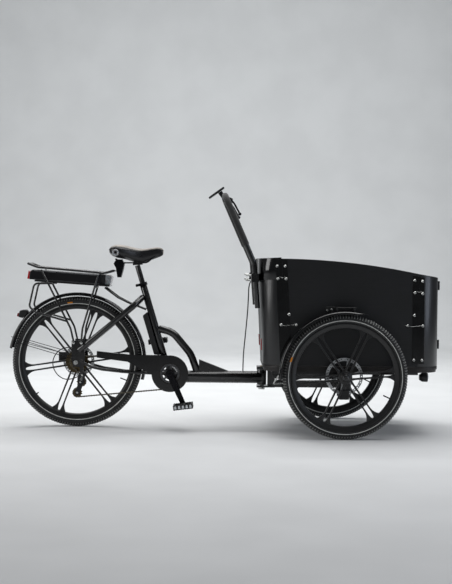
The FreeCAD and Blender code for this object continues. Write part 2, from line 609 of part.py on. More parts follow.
CRANK_DX, CRANK_DZ = "crank_length*cos(crank_angle)", "crank_length*sin(crank_angle)"
PEDAL_SPOTS = {"right": (BRACKET + "+" + CRANK_DX, BRACKET_Z + "-" + CRANK_DZ),
               "left": (BRACKET + "-" + CRANK_DX, BRACKET_Z + "+" + CRANK_DZ)}
spindle = rod("crank_spindle", (BRACKET, "-crank_side-crank_thick/2", BRACKET_Z), (BRACKET, "crank_side+1", BRACKET_Z),
              "spindle_radius")
for side, sign in SIDES:
    arm = body("crank_arm_" + side)
    out_y = "-(crank_side+crank_thick)" if sign < 0 else "crank_side"
    arm_sketch = outline(sketch(arm, "XZ_Plane", "-(%s+crank_thick)" % out_y),
                         [("0", "17", "-16"), ("0", "-17"), ("crank_length", "-12", "-11"), ("crank_length", "12")])
    pad(arm, arm_sketch, "crank_thick")
    arm_turn = "crank_angle" if sign < 0 else "crank_angle+180"
    place(arm, (BRACKET, "0", BRACKET_Z), (0, 1, 0), arm_turn)
    spot_x, spot_z = PEDAL_SPOTS[side]
    inner_y, outer_y = "%d*(crank_side+crank_thick/2)" % sign, "%d*(crank_side+crank_thick+pedal_wide)" % sign
    low_y, high_y = sorted((inner_y, outer_y), key=value)
    axle = rod("pedal_axle_" + side, (spot_x, low_y, spot_z), (spot_x, high_y, spot_z), "5")
    members = [arm, axle]
    if sign < 0:
        spider_disc = body("spider_disc")
        disc_sketch = sketch(spider_disc, "XZ_Plane", "chain_side+tooth_thick/2")
        circle(circle(disc_sketch, ("0", "0"), "guard_eye_radius-2"), ("0", "0"), "guard_eye_radius-14")
        pad(spider_disc, disc_sketch, "5")
        web = outline(sketch(spider_disc, "XZ_Plane", "chain_side+tooth_thick/2"),
                      [("0", "-7"), ("guard_eye_radius-12", "-5"), ("guard_eye_radius-12", "5"), ("0", "7")])
        web_pad = pad(spider_disc, web, "5")
        repeat_round(spider_disc, web, web_pad, "5")
        boss = circle(sketch(spider_disc, "XZ_Plane", "chain_side+tooth_thick/2"), ("0", "0"), "20")
        pad(spider_disc, boss, "crank_side-chain_side-tooth_thick/2")
        place(spider_disc, (BRACKET, "0", BRACKET_Z), (0, 1, 0), "crank_angle")
        members.append(spider_disc)
        spindle_hole = rod("spindle_hole", (BRACKET, "-crank_side-crank_thick/2", BRACKET_Z), (BRACKET, "0", BRACKET_Z),
                           "spindle_radius")
        node("crank_arm_right", cut("crank_right_bored", fuse("crank_right", *members), spindle_hole))
    else:
        node("crank_arm_left", fuse("crank_left", spindle, *members))
    pedal = body("pedal_" + side)
    frame_low = "%d*(crank_side+crank_thick+4)" % sign
    frame_high = "%d*(crank_side+crank_thick+pedal_wide)" % sign
    frame_low, frame_high = sorted((frame_low, frame_high), key=value)
    plan = outline(sketch(pedal, "XY_Plane", "-pedal_thick/2"), [
        ("-pedal_long/2", frame_low), ("pedal_long/2", frame_low), ("pedal_long/2", frame_high),
        ("-pedal_long/2", frame_high)])
    pad(pedal, plan, "pedal_thick")
    windows = sketch(pedal, "XY_Plane")
    for first, last in (("-pedal_long/2+9", "-11"), ("11", "pedal_long/2-9")):
        outline(windows, [(first, frame_low + "+10"), (last, frame_low + "+10"), (last, frame_high + "-10"),
                          (first, frame_high + "-10")])
    pocket_through(pedal, windows)
    bearing = circle(sketch(pedal, "XZ_Plane"), ("0", "0"), "5+running_gap")
    pocket_through(pedal, bearing)
    node("pedal_" + side, place(pedal, (spot_x, "0", spot_z), (0, 1, 0), "-7"))

guard = body("chain_guard")
face_y = "chain_side+10.5"
face = circle(sketch(guard, "XZ_Plane", face_y), (BRACKET, BRACKET_Z), "guard_disc_radius")
pad(guard, face, "2.5")
arm = outline(sketch(guard, "XZ_Plane", face_y), [
    (ahead("104"), over_axle("24")), (ahead("260"), over_axle("4")), (BRACKET + "-90", BRACKET_Z + "-6"),
    (BRACKET, BRACKET_Z + "-30"), (BRACKET + "+20", BRACKET_Z + "+guard_disc_radius-3"),
    (ahead("273"), over_axle("40")), (ahead("104"), over_axle("57"))])
pad(guard, arm, "2.5")
eye = circle(sketch(guard, "XZ_Plane"), (BRACKET, BRACKET_Z), "guard_eye_radius")
pocket_through(guard, eye)
lip = outline(sketch(guard, "XZ_Plane", "chain_side-7"), [
    (BRACKET, BRACKET_Z + "+guard_disc_radius", "guard_disc_radius*0.9999"),
    (BRACKET, BRACKET_Z + "-guard_disc_radius"), (BRACKET, BRACKET_Z + "-guard_disc_radius+2.5",
                                                  "-(guard_disc_radius-2.5)*0.9999"),
    (BRACKET, BRACKET_Z + "+guard_disc_radius-2.5")])
pad(guard, lip, "18")
top_lip = outline(sketch(guard, "XZ_Plane", "chain_side-7"), [
    (ahead("104"), over_axle("54.5")), (ahead("273"), over_axle("37.5")),
    (BRACKET + "+10", BRACKET_Z + "+guard_disc_radius-3"), (BRACKET + "+10", BRACKET_Z + "+guard_disc_radius-0.5"),
    (ahead("273"), over_axle("40")), (ahead("104"), over_axle("57"))])
pad(guard, top_lip, "18")
guard_bracket = block("guard_bracket", (BRACKET + "-6", "-chain_side+7", BRACKET_Z + "+bracket_radius-3"),
                      (BRACKET + "+6", "-bracket_half+6", BRACKET_Z + "+guard_disc_radius-2.5"))
node("chain_guard", fuse("chain_guard_held", guard, guard_bracket))

# ---------------------------------------------------------------- rear mudguard, lamp, rack, battery
def guard_profile(radius, half):
    return [("-" + half, radius + "-15"), ("-" + half, radius + "-6"), ("-%s*0.7" % half, radius),
            (half + "*0.7", radius), (half, radius + "-6"), (half, radius + "-15"),
            (half + "-guard_wall", radius + "-15"), (half + "-guard_wall", radius + "-6.8"),
            (half + "*0.7-0.8", radius + "-guard_wall"), ("-%s*0.7+0.8" % half, radius + "-guard_wall"),
            ("-%s+guard_wall" % half, radius + "-6.8"), ("-%s+guard_wall" % half, radius + "-15")]


# The profile starts pointing straight up, so the turn brings its start round to the guard's tip.
rear_guard = turned("rear_guard", guard_profile("rear_guard_radius", "rear_guard_half"),
                    (REAR, "0", AXLE_Z), "rear_guard_span", "rear_guard_tip-90")
tail_x = "rear_guard_radius*cos(rear_guard_tip+6)"
tail_z = "rear_guard_radius*sin(rear_guard_tip+6)"
wires = [rod("guard_wire", (ahead("-10"), "dropout_half+dropout_thick", over_axle(low)),
             (ahead("-%s+%s" % (tail_x, shift)), "rear_guard_half", over_axle(tail_z + "+" + rise)), "1.6")
         for low, shift, rise in (("16", "7", "0"), ("30", "3", "22"))]
wire_set = group("guard_wire_pair", *wires)
node("rear_mudguard", group("rear_guard_and_wires", rear_guard, wire_set, mirror("guard_wires_other", wire_set)))


def on_guard(back, up, *bulge):
    """A place beside the seat of the lamp, which is 40 degrees up the guard."""
    return (ahead("-rear_guard_radius*cos(40)-(%s)" % back), over_axle("rear_guard_radius*sin(40)+(%s)" % up), *bulge)


lamp = side_plate("rear_lamp", [on_guard("33.59", "-1.9"), on_guard("5.59", "-5.9"), on_guard("-18.41", "25.1", "6"),
                                on_guard("-8.41", "35.1"), on_guard("25.59", "29.1")], "22", "44")
lamp_seated = cut("rear_lamp_seated", lamp, rod("lamp_seat", (REAR, "-60", AXLE_Z), (REAR, "60", AXLE_Z),
                                                "rear_guard_radius"))
lamp_lens = side_plate("rear_lamp_lens", [on_guard("39.59", "0.1"), on_guard("33.59", "-1.9"),
                                          on_guard("25.59", "29.1"), on_guard("30.59", "30.1")], "22", "44")
node("rear_lamp", fuse("rear_lamp_whole", lamp_seated, lamp_lens))

rail_points = [(ahead(x), "rack_half", over_axle("rack_rise" + z)) for x, z in
               (("-243", "+28"), ("-197", "+11"), ("113", "-14"), ("130", "-18"), ("184", "-5"))]
rail = bent("rack_rail", rail_points, "rack_rod", 26)
bars = [rod("rack_bar", (ahead(x), "-rack_half", over_axle("rack_rise" + z)),
            (ahead(x), "rack_half", over_axle("rack_rise" + z)), "rack_rod")
        for x, z in (("-243", "+28"), ("-196", "+11"), ("118", "-14"), ("184", "-5"))]
rack_rails = fuse("rack_rails", rail, mirror("rack_rail_other", rail), *bars)
rear_leg = bent("rack_rear_leg", [(ahead("-178"), "rack_half+3", over_axle("rack_rise-2")),
                                  (ahead("-27"), "dropout_half+9", over_axle("172")),
                                  (ahead("-8"), "dropout_half+11", over_axle("92"))], "rack_rod-1", 60)
front_leg = bent("rack_front_leg", [(ahead("110"), "rack_half+3", over_axle("rack_rise-25.5")),
                                    (ahead("33"), "dropout_half+9", over_axle("172")),
                                    (ahead("26"), "dropout_half+11", over_axle("92"))], "rack_rod-1", 60)
hoop = bent("rack_hoop", [(ahead(x), "rack_half+6", over_axle(z)) for x, z in
                          (("-118", "battery_rise-21"), ("-212", "battery_rise-21"), ("-238", "280"), ("-205", "253"),
                           ("-44", "207"))],
            "rack_rod-1", 24)
strut_foot = up_seat("344", "seat_tube_radius+3")
strut = bent("rack_strut", [(ahead("140"), "34", over_axle("battery_rise-40")),
                            (ahead("206"), "34", over_axle("battery_rise-89")),
                            (ahead("262"), "20", over_axle("battery_rise-117")), (strut_foot[0], "9", strut_foot[1])],
             "rack_rod-1", 40)
rack_side = group("rack_side", rear_leg, front_leg, hoop, strut)


def tilted(piece, x, z):
    """Lean a piece of the battery with the rack."""
    return place(piece, (ahead(x), "0", over_axle(z)), (0, 1, 0), "battery_slope")


tray = body("battery_tray")
pad(tray, outline(sketch(tray, "XZ_Plane"), [("40", "-9"), ("battery_length-10", "-9"), ("battery_length-10", "-1"),
                                             ("40", "-1")]), "2*rack_half-4.4", both_ways=True)
tilted(tray, "-battery_rear", "battery_rise")
node("rear_rack", group("rack_whole", rack_rails, rack_side, mirror("rack_side_other", rack_side), tray))
pack = body("battery")
pack_outline = outline(sketch(pack, "XZ_Plane"), [
    ("12", "0"), ("battery_length-58", "0"), ("battery_length-58", "battery_height"),
    ("26", "battery_height", "-1"), ("12", "battery_height-12")])
pad(pack, pack_outline, "2*battery_half", both_ways=True)
tilted(pack, "-battery_rear", "battery_rise")
cap = body("battery_cap")
pad(cap, outline(sketch(cap, "XZ_Plane"), [
    ("battery_length-58", "0"), ("battery_length-8", "0"), ("battery_length", "battery_height-8", "-4"),
    ("battery_length-14", "battery_height"), ("battery_length-58", "battery_height")]),
    "2*battery_half-4", both_ways=True)
tilted(cap, "-battery_rear", "battery_rise")
tail = body("battery_reflector")
pad(tail, outline(sketch(tail, "XZ_Plane"), [("0", "2"), ("12", "0"), ("12", "battery_height-12"), ("4", "battery_height-6")]),
    "2*battery_half-12", both_ways=True)
node("battery", group("battery_whole", pack, cap, tilted(tail, "-battery_rear", "battery_rise")))

gear_cable = bent("gear_cable", [(ahead("10"), "-dropout_half-2", over_axle("-72")),
                                 (ahead("-40"), "-dropout_half-6", over_axle("-96")),
                                 (ahead("-100"), "-dropout_half-8", over_axle("-62")),
                                 (ahead("-122"), "-dropout_half-8", over_axle("0")),
                                 (ahead("-96"), "-dropout_half-7", over_axle("54")),
                                 (ahead("-56"), "-dropout_half-3.5", over_axle("76")),
                                 (ahead("-21.5"), "-dropout_half-3.5", over_axle("76"))], "2.5", 60)
node("gear_cable", gear_cable)

# ---------------------------------------------------------------- saddle
collar_low, collar_high = up_seat("seat_tube_length"), up_seat("seat_tube_length+14")
collar_ring = rod("seat_collar", (collar_low[0], "0", collar_low[1]), (collar_high[0], "0", collar_high[1]),
                  "seat_tube_radius+4", "post_radius+running_gap")
knob = up_seat("seat_tube_length+7", "seat_tube_radius+10")
collar_pin = rod("collar_pin", (knob[0], "-20", knob[1]), (knob[0], "20", knob[1]), "3")
lever_end = up_seat("seat_tube_length+3", "seat_tube_radius+10")
lever = side_plate("seat_lever_plate", [
    (knob[0] + "-6", knob[1] + "-7", "3"), (knob[0] + "-6", knob[1] + "+7"),
    (knob[0] + "+46", knob[1] + "+13", "5"), (knob[0] + "+47", knob[1] + "+5")], "-22", "6")
node("seat_lever", fuse("seat_lever", collar_pin, lever))
lug = side_plate("collar_lug", [
    up_seat("seat_tube_length+1", "seat_tube_radius+3.6"), up_seat("seat_tube_length+1", "seat_tube_radius+17"),
    up_seat("seat_tube_length+13", "seat_tube_radius+17"), up_seat("seat_tube_length+13", "seat_tube_radius+3.6")],
    "14", "28", [(knob, "3+running_gap")])
node("seat_collar", fuse("seat_collar", collar_ring, lug))
post_low, post_high = up_seat("seat_tube_length-150"), up_seat("seat_tube_length+post_show")
post = rod("seat_post_tube", (post_low[0], "0", post_low[1]), (post_high[0], "0", post_high[1]),
           "post_radius-running_gap")
SADDLE_X, SADDLE_Z = post_high


def saddle_spot(x, z, *bulge):
    return (SADDLE_X + "+(%s)" % x, SADDLE_Z + "+(%s)" % z, *bulge)


saddle_clamp = side_plate("saddle_clamp", [
    saddle_spot("-22", "0"), saddle_spot("-20", "17", "3"), saddle_spot("26", "21"), saddle_spot("28", "4")], "27", "54")
node("seat_post", fuse("seat_post", post, saddle_clamp))
rail_route = [saddle_spot(*spot) for spot in (("-112", "32"), ("-78", "12"), ("48", "14"), ("98", "56"))]
saddle_rail = bent("saddle_rail", [(x, "20", z) for x, z in rail_route], "3.5", 30)
saddle_block = side_plate("saddle_block", [
    saddle_spot("-120", "8"), saddle_spot("-108", "-14"), saddle_spot("-100", "-62"), saddle_spot("-82", "-62"),
    saddle_spot("-70", "-16"), saddle_spot("-66", "8"), saddle_spot("-78", "30"), saddle_spot("-106", "30")],
    "26", "52")
node("saddle_rails", fuse("saddle_rails", saddle_rail, mirror("saddle_rail_other", saddle_rail), saddle_block))
saddle_side = side_plate("saddle_side", [
    saddle_spot("-142", "66"), saddle_spot("-104", "104", "8"), saddle_spot("14", "88", "-6"),
    saddle_spot("100", "98"), saddle_spot("135", "66", "10"), saddle_spot("124", "46"), saddle_spot("72", "28"),
    saddle_spot("18", "22"), saddle_spot("-46", "32"), saddle_spot("-104", "40")], "saddle_half+20",
    "2*saddle_half+40")
saddle_plan = top_plate("saddle_plan", [
    (SADDLE_X + "-150", "-saddle_half+24"), (SADDLE_X + "-118", "-saddle_half"), (SADDLE_X + "-60", "-saddle_half+12"),
    (SADDLE_X + "+40", "-saddle_nose_half"), (SADDLE_X + "+145", "-saddle_nose_half+8"),
    (SADDLE_X + "+145", "saddle_nose_half-8"), (SADDLE_X + "+40", "saddle_nose_half"),
    (SADDLE_X + "-60", "saddle_half-12"), (SADDLE_X + "-118", "saddle_half"), (SADDLE_X + "-150", "saddle_half-24")],
    SADDLE_Z, "200")
node("saddle", common("saddle", saddle_side, saddle_plan))

# ---------------------------------------------------------------- front carrier frame
YOKE_TOP, YOKE_LOW = PIVOT_Z + "+pivot_half+4", PIVOT_Z + "-pivot_half-4"
FRAME_TOP = "(%s-floor_thick-12)" % FLOOR_Z
yoke = body("pivot_yoke")
yoke_sketch = outline(sketch(yoke, "XZ_Plane"), [
    (PIVOT + "-26", YOKE_TOP), (PIVOT + "+52", YOKE_TOP), (PIVOT + "+52", YOKE_LOW), (PIVOT + "-26", YOKE_LOW),
    (PIVOT + "-26", YOKE_LOW + "-8"), (PIVOT + "+66", YOKE_LOW + "-8"), (PIVOT + "+66", FRAME_TOP),
    (PIVOT + "-26", FRAME_TOP)])
pad(yoke, yoke_sketch, "76", both_ways=True)
kingpin_hole = rod("kingpin_hole", (PIVOT, "0", "0"), (PIVOT, "0", "600"), "kingpin_radius")
yoke_bored = cut("pivot_yoke_bored", yoke, kingpin_hole)
kingpin = [rod("kingpin_shank", (PIVOT, "0", YOKE_LOW + "-8"), (PIVOT, "0", FRAME_TOP), "kingpin_radius"),
           rod("kingpin_nut", (PIVOT, "0", YOKE_LOW + "-20"), (PIVOT, "0", YOKE_LOW + "-8"), "17")]
node("kingpin", fuse("kingpin", *kingpin))
AXLE_X = (FRONT + "-20", FRONT + "+20")
BEAM_TOP = "(%s-26)" % FRAME_TOP
beams = [block("upper_beam", (PIVOT + "+65", "-22", BEAM_TOP + "-36"), (AXLE_X[0] + "+1", "22", BEAM_TOP)),
         block("lower_beam", (PIVOT + "+65", "-22", YOKE_LOW + "-8"), (AXLE_X[0] + "+1", "22", YOKE_LOW + "+26"))]
axle_skin = block("axle_skin", (AXLE_X[0], "-axle_plate", BEAM_TOP + "-78"), (AXLE_X[1], "axle_plate", BEAM_TOP))
axle_core = block("axle_core", (AXLE_X[0] + "+3", "-axle_plate-1", BEAM_TOP + "-75"),
                  (AXLE_X[1] + "-3", "axle_plate+1", BEAM_TOP + "-3"))
axle_beam = cut("axle_beam", axle_skin, axle_core)
rail_low, rail_high = (ahead("box_rear+48"), "126", BEAM_TOP), (ahead("box_front-82"), "154", FRAME_TOP)
floor_rail = block("floor_rail", rail_low, rail_high)
plate_outline = [(FRONT + "-34", over_front("-96")), (FRONT + "+34", over_front("-96")),
                 (FRONT + "+34", over_front("26")), (FRONT + "-34", over_front("26"))]
axle_end = side_plate("axle_end", plate_outline, "-axle_plate", "axle_plate_thick")
stub = turned("stub", [("-(track_half+42)", "0"), ("-(track_half+42)", "stub_radius"),
                       ("-(track_half+40)", "12"), ("-(track_half+31)", "12"), ("-(track_half+31)", "stub_radius"),
                       ("-(axle_plate+axle_plate_thick)", "stub_radius"), ("-(axle_plate+axle_plate_thick)", "0")],
              (FRONT, "0", FRONT_Z))
axle_side = fuse("axle_side", axle_end, stub, floor_rail)
node("front_frame", fuse("front_frame", yoke_bored, *beams, axle_beam, axle_side, mirror("axle_side_other", axle_side)))
DISC_Y = "(track_half-43)"
grip = cut("calliper_slotted",
           block("calliper_block", (FRONT + "-24", "-(%s+8)" % DISC_Y, over_front("-112")),
                 (FRONT + "+24", "-(axle_plate+axle_plate_thick)", over_front("-66"))),
           rod("calliper_slot", (FRONT, "-(%s+3.5)" % DISC_Y, FRONT_Z), (FRONT, "-(%s-3.5)" % DISC_Y, FRONT_Z),
               "disc_radius+3"))
pair("front_callipers", grip)

# ---------------------------------------------------------------- cargo box


def plan_ring(inset):
    """The box's plan with rounded corners, drawn a distance inside its outer face."""
    rear, front, half = ahead("box_rear+%s" % inset), ahead("box_front-(%s)" % inset), "(box_half-(%s))" % inset
    turn, bulge = "(box_corner-(%s))" % inset, "-(box_corner-(%s))*(1-cos(45))" % inset
    return [(rear + "+" + turn, "-" + half), (front + "-" + turn, "-" + half, bulge),
            (front, "-%s+%s" % (half, turn)), (front, "%s-%s" % (half, turn), bulge),
            (front + "-" + turn, half), (rear + "+" + turn, half, bulge),
            (rear, "%s-%s" % (half, turn)), (rear, "-%s+%s" % (half, turn), bulge)]


# The board has a half-millimetre step, so that its upper face ends inside the walls.
floor_board = top_plate("floor_board", plan_ring("0"), "%s-floor_thick" % FLOOR_Z, "floor_thick-0.5")
floor_face = top_plate("floor_face", plan_ring("box_wall+1.5"), "%s-1" % FLOOR_Z, "1")
frame_ring = body("floor_frame")
ring_sketch = outline(sketch(frame_ring, "XY_Plane", FRAME_TOP), plan_ring("5"))
outline(ring_sketch, plan_ring("30"))
pad(frame_ring, ring_sketch, "12")
node("box_floor", fuse("box_floor", floor_board, floor_face, frame_ring))

# The back of the box leans. Its pieces are drawn upright from the floor and leaned together.
LEAN_AT = (ahead("box_rear"), "0", FLOOR_Z)
BACK_HEIGHT = "box_height/cos(box_lean)"


def lean(piece):
    return place(piece, LEAN_AT, (0, 1, 0), "-box_lean")


SIDE_FLAT = "(box_half-box_corner)"
rear_panel = top_plate("rear_panel", [("0", "-" + SIDE_FLAT), ("box_wall", "-" + SIDE_FLAT), ("box_wall", SIDE_FLAT),
                                      ("0", SIDE_FLAT)], "1", BACK_HEIGHT + "-1")
node("rear_panel", lean(rear_panel))


def corner_plan(outer, wall):
    """A quarter ring for the right rear corner; outer is how far it stands out of the box's face."""
    far, near = "(box_corner+%s)" % outer, "(box_corner+%s-%s)" % (outer, wall)
    bend = "(1-cos(45))"
    return [("-(%s)" % outer, "-" + SIDE_FLAT, "-%s*%s" % (far, bend)), ("box_corner", "-" + SIDE_FLAT + "-" + far),
            ("box_corner", "-" + SIDE_FLAT + "-" + near, "%s*%s" % (near, bend)),
            ("%s-(%s)" % (wall, outer), "-" + SIDE_FLAT)]


corner = lean(top_plate("rear_corner", corner_plan("0", "box_wall"), "1", BACK_HEIGHT + "-1"))
pair("rear_corners", corner)
band = lean(top_plate("corner_band", corner_plan("1.5", "1.5"), BACK_HEIGHT + "-106", "104"))

LEAN_RUN = "tan(box_lean)"
side_rear_low = ahead("box_rear+box_corner-0.5*%s" % LEAN_RUN)
side_rear_top = ahead("box_rear+box_corner-box_height*%s" % LEAN_RUN)
side_front = ahead("box_front-box_corner")
side_panel = side_plate("side_panel", [
    (side_rear_low, FLOOR_Z + "+1"), (side_front, FLOOR_Z + "+1"), (side_front, FLOOR_Z + "+box_shoulder", "-17"),
    (side_rear_top, FLOOR_Z + "+box_height")], "-box_half+box_wall", "box_wall")
pair("side_panels", side_panel)

front_corner = body("front_corner")
front_face = ahead("box_front")
front_bend = "(1-cos(45))"
pad(front_corner, outline(sketch(front_corner, "XY_Plane", FLOOR_Z + "+1"), [
    (side_front, "-box_half", "-box_corner*" + front_bend), (front_face, "-" + SIDE_FLAT),
    (front_face + "-box_wall", "-" + SIDE_FLAT, "(box_corner-box_wall)*" + front_bend),
    (side_front, "-box_half+box_wall")]), "box_shoulder-1")
slope = outline(sketch(front_corner, "XZ_Plane"), [
    (side_front + "-1", FLOOR_Z + "+box_shoulder"), (front_face + "+5", FLOOR_Z + "+box_nose"),
    (front_face + "+5", FLOOR_Z + "+box_shoulder+20"), (side_front + "-1", FLOOR_Z + "+box_shoulder+20")])
pocket_through(front_corner, slope)
pair("front_corners", front_corner)
jamb = block("door_jamb", (front_face + "-box_wall", "-%s" % SIDE_FLAT, FLOOR_Z + "+1"),
             (front_face, "-door_half", FLOOR_Z + "+box_nose"))
sill = block("door_sill", (front_face + "-box_wall", "-door_half", FLOOR_Z + "+1"),
             (front_face, "door_half", FLOOR_Z + "+24"))
HINGE_Y, HINGE_X = "-(door_half+1)", "(%s+7)" % front_face
hinge_spots = ("box_nose*0.19", "box_nose*0.86")
barrels = [rod("hinge_barrel", (HINGE_X, HINGE_Y, FLOOR_Z + "+" + spot),
               (HINGE_X, HINGE_Y, FLOOR_Z + "+" + spot + "+30"), "hinge_reach-7", "3+running_gap") for spot in hinge_spots]
barrel_leaves = [block("hinge_leaf", (front_face, "-%s" % SIDE_FLAT, FLOOR_Z + "+" + spot),
                       (front_face + "+2.5", HINGE_Y + "-4", FLOOR_Z + "+" + spot + "+30")) for spot in hinge_spots]
hinges = [fuse("hinge", *both) for both in zip(barrels, barrel_leaves)]
door = block("door_board", (front_face + "-box_wall", "-door_half+2", FLOOR_Z + "+26"),
             (front_face, "door_half-2", FLOOR_Z + "+box_nose"))
door_pins = []
for spot in hinge_spots:
    top = FLOOR_Z + "+" + spot
    door_pins.append(rod("door_pin", (HINGE_X, HINGE_Y, top), (HINGE_X, HINGE_Y, top + "+44"), "3"))
    door_pins.append(rod("door_knuckle", (HINGE_X, HINGE_Y, top + "+30.5"), (HINGE_X, HINGE_Y, top + "+44"), "hinge_reach-7"))
    door_pins.append(block("door_leaf", (front_face, HINGE_Y, top + "+30.5"), (front_face + "+2.5", HINGE_Y + "+46", top + "+44")))
latch_z = FLOOR_Z + "+box_nose*0.6"
# The latch bolt rests between two cheeks, and their spring grip holds it.
keepers = [side_plate("latch_keeper", [(front_face, "%s%s8.6" % (latch_z, way)), (front_face, "%s%s14" % (latch_z, way)),
                                       (front_face + "+12", "%s%s14" % (latch_z, way)),
                                       (front_face + "+12", "%s%s4.6" % (latch_z, way))], "door_half+11", "7")
           for way in "+-"]
door_frame = fuse("door_frame_whole", jamb, mirror("door_jamb_other", jamb), sill)
node("door_frame", group("door_frame", door_frame, *hinges, *keepers))
latch_base = cut("latch_base_bored", block("latch_base", (front_face, "door_half-50", latch_z + "-9"),
                                           (front_face + "+12", "door_half-38", latch_z + "+9")),
                 rod("latch_bore", (front_face + "+6", "door_half-60", latch_z), (front_face + "+6", "door_half", latch_z), "3.6"))
node("front_door", fuse("front_door", door, latch_base, *door_pins))
latch_bar = rod("latch_bar", (front_face + "+6", "door_half-58", latch_z), (front_face + "+6", "door_half+12", latch_z), "3.2")
latch_knob = rod("latch_knob", (front_face + "+6", "door_half-16", latch_z), (front_face + "+6", "door_half-10", latch_z), "6")
node("latch_bolt", fuse("latch_bolt", latch_bar, latch_knob))

rear_strap = side_plate("rear_strap", [
    ("box_corner-strap_width/2", "16"), ("box_corner+strap_width/2", "16"),
    ("box_corner+strap_width/2", "box_height-9"), ("box_corner-strap_width/2", "box_height-9")],
    "-box_half", "strap_thick")
lean(rear_strap)
front_strap = side_plate("front_strap", [
    (side_front + "-strap_width/2", FLOOR_Z + "+16"), (side_front + "+strap_width/2", FLOOR_Z + "+16"),
    (side_front + "+strap_width/2", FLOOR_Z + "+box_shoulder-18"),
    (side_front + "-strap_width/2", FLOOR_Z + "+box_shoulder-8")], "-box_half", "strap_thick")
strap_trim = rod("strap_trim", (side_front, "-" + SIDE_FLAT, FLOOR_Z), (side_front, "-" + SIDE_FLAT, FLOOR_Z + "+600"),
                 "box_corner")
rear_trim = lean(top_plate("rear_strap_trim", corner_plan("0", "box_wall"), "0", BACK_HEIGHT))
strap_side = group("strap_side", fuse("strap_and_band", cut("rear_strap_seated", rear_strap, rear_trim), band),
                   cut("front_strap_seated", front_strap, strap_trim))
pair("corner_straps", strap_side)

# Bolt heads beside each strap, as (from the strap's middle, above the floor).
REAR_BOLTS = ((-22, 484), (17, 484), (-21, 423), (19, 423), (26, 251), (-15, 200), (58, 200))
FRONT_BOLTS = ((-20, 420), (18, 417), (-18, 361), (19, 357), (-20, 251), (-51, 200), (21, 201), (-20, 34), (19, 34))


def dome(x, z, seat):
    """A low round bolt head on the right side of the box."""
    head = turned("bolt", [("0", "0"), ("0", "6.5"), ("-1.2", "6.5"), ("-3.6", "4"), ("-3.6", "0")], (x, seat, z))
    return head


bolts = []
for dx, dz in REAR_BOLTS:
    seat = "-box_half-strap_thick" if abs(dx) < 28 else "-box_half"
    bolts.append(dome(ahead("box_rear+box_corner+%s-%s*tan(box_lean)" % (dx, dz)), "%s+%s" % (FLOOR_Z, dz), seat))
for dx, dz in FRONT_BOLTS:
    seat = "-box_half-strap_thick" if abs(dx) < 28 else "-box_half"
    bolts.append(dome("%s+%s" % (side_front, dx), "%s+%s" % (FLOOR_Z, dz), seat))

GUARD_R = "(front_wheel_radius+front_guard_gap)"
front_guards = {}
for side, sign in SIDES:
    front_guards[side] = turned("front_mudguard_" + side, guard_profile(GUARD_R, "front_guard_half"),
                                (FRONT, "%d*track_half" % sign, FRONT_Z), "front_guard_span",
                                "90-front_guard_start-front_guard_span")
carrier_plate = block("guard_plate", (FRONT + "-48", "-(track_half+6)", over_front("front_guard_gap+312")),
                      (FRONT + "+50", "-box_half", over_front("front_guard_gap+316")))
lugs = [block("guard_lug", (FRONT + x0, "-(track_half+6)", over_front("front_guard_gap+%s" % low)),
              (FRONT + x1, "-(track_half-8)", over_front("front_guard_gap+312")))
        for x0, x1, low in (("-46", "-38", "296.6"), ("+38", "+46", "296.6"))]
flange = block("guard_flange", (FRONT + "-90", "-(box_half+3)", over_front("front_guard_gap+300")),
               (FRONT + "+50", "-box_half", over_front("front_guard_gap+316")))
bracket_side = fuse("guard_bracket_right", carrier_plate, flange, *lugs)
GUARD_END = "(90-front_guard_start-front_guard_span)"
stay = bent("guard_stay", [(FRONT + "-%s+2" % GUARD_R, "-(track_half-front_guard_half)", over_front("4")),
                           (FRONT + "-%s-24" % GUARD_R, "-(track_half-60)", over_front("-40")),
                           (PIVOT + "+130", "-20", over_front("-66"))], "4", 40)
guard_side = group("guard_side", bracket_side, stay)
node("front_mudguards", group("front_mudguards", *front_guards.values(), guard_side,
                              mirror("guard_side_other", guard_side)))

lamp_profile = [("0", "0"), ("0", "14"), ("14", "23"), ("40", "24"), ("40", "0")]
front_lamp = body("front_lamp")
revolve(front_lamp, outline(sketch(front_lamp, "YZ_Plane"), lamp_profile))
place(front_lamp, (ahead("box_front-50"), "0", over_front("-34")), (0, 0, 1), "-90")
lamp_bracket = block("lamp_bracket", (ahead("box_front-34"), "-9", over_front("-12")),
                     (ahead("box_front-26"), "9", FRAME_TOP))
lens = body("front_lamp_lens")
revolve(lens, outline(sketch(lens, "YZ_Plane"), [("40", "0"), ("40", "23"), ("43", "21"), ("46", "12"), ("47", "0")]))
place(lens, (ahead("box_front-50"), "0", over_front("-34")), (0, 0, 1), "-90")
node("front_lamp", fuse("front_lamp_held", front_lamp, lens, lamp_bracket))
reflector = lean(top_plate("reflector", [("-5", "-196"), ("0", "-196"), ("0", "-168"), ("-5", "-168")], "68", "57"))
pair("rear_reflectors", reflector)

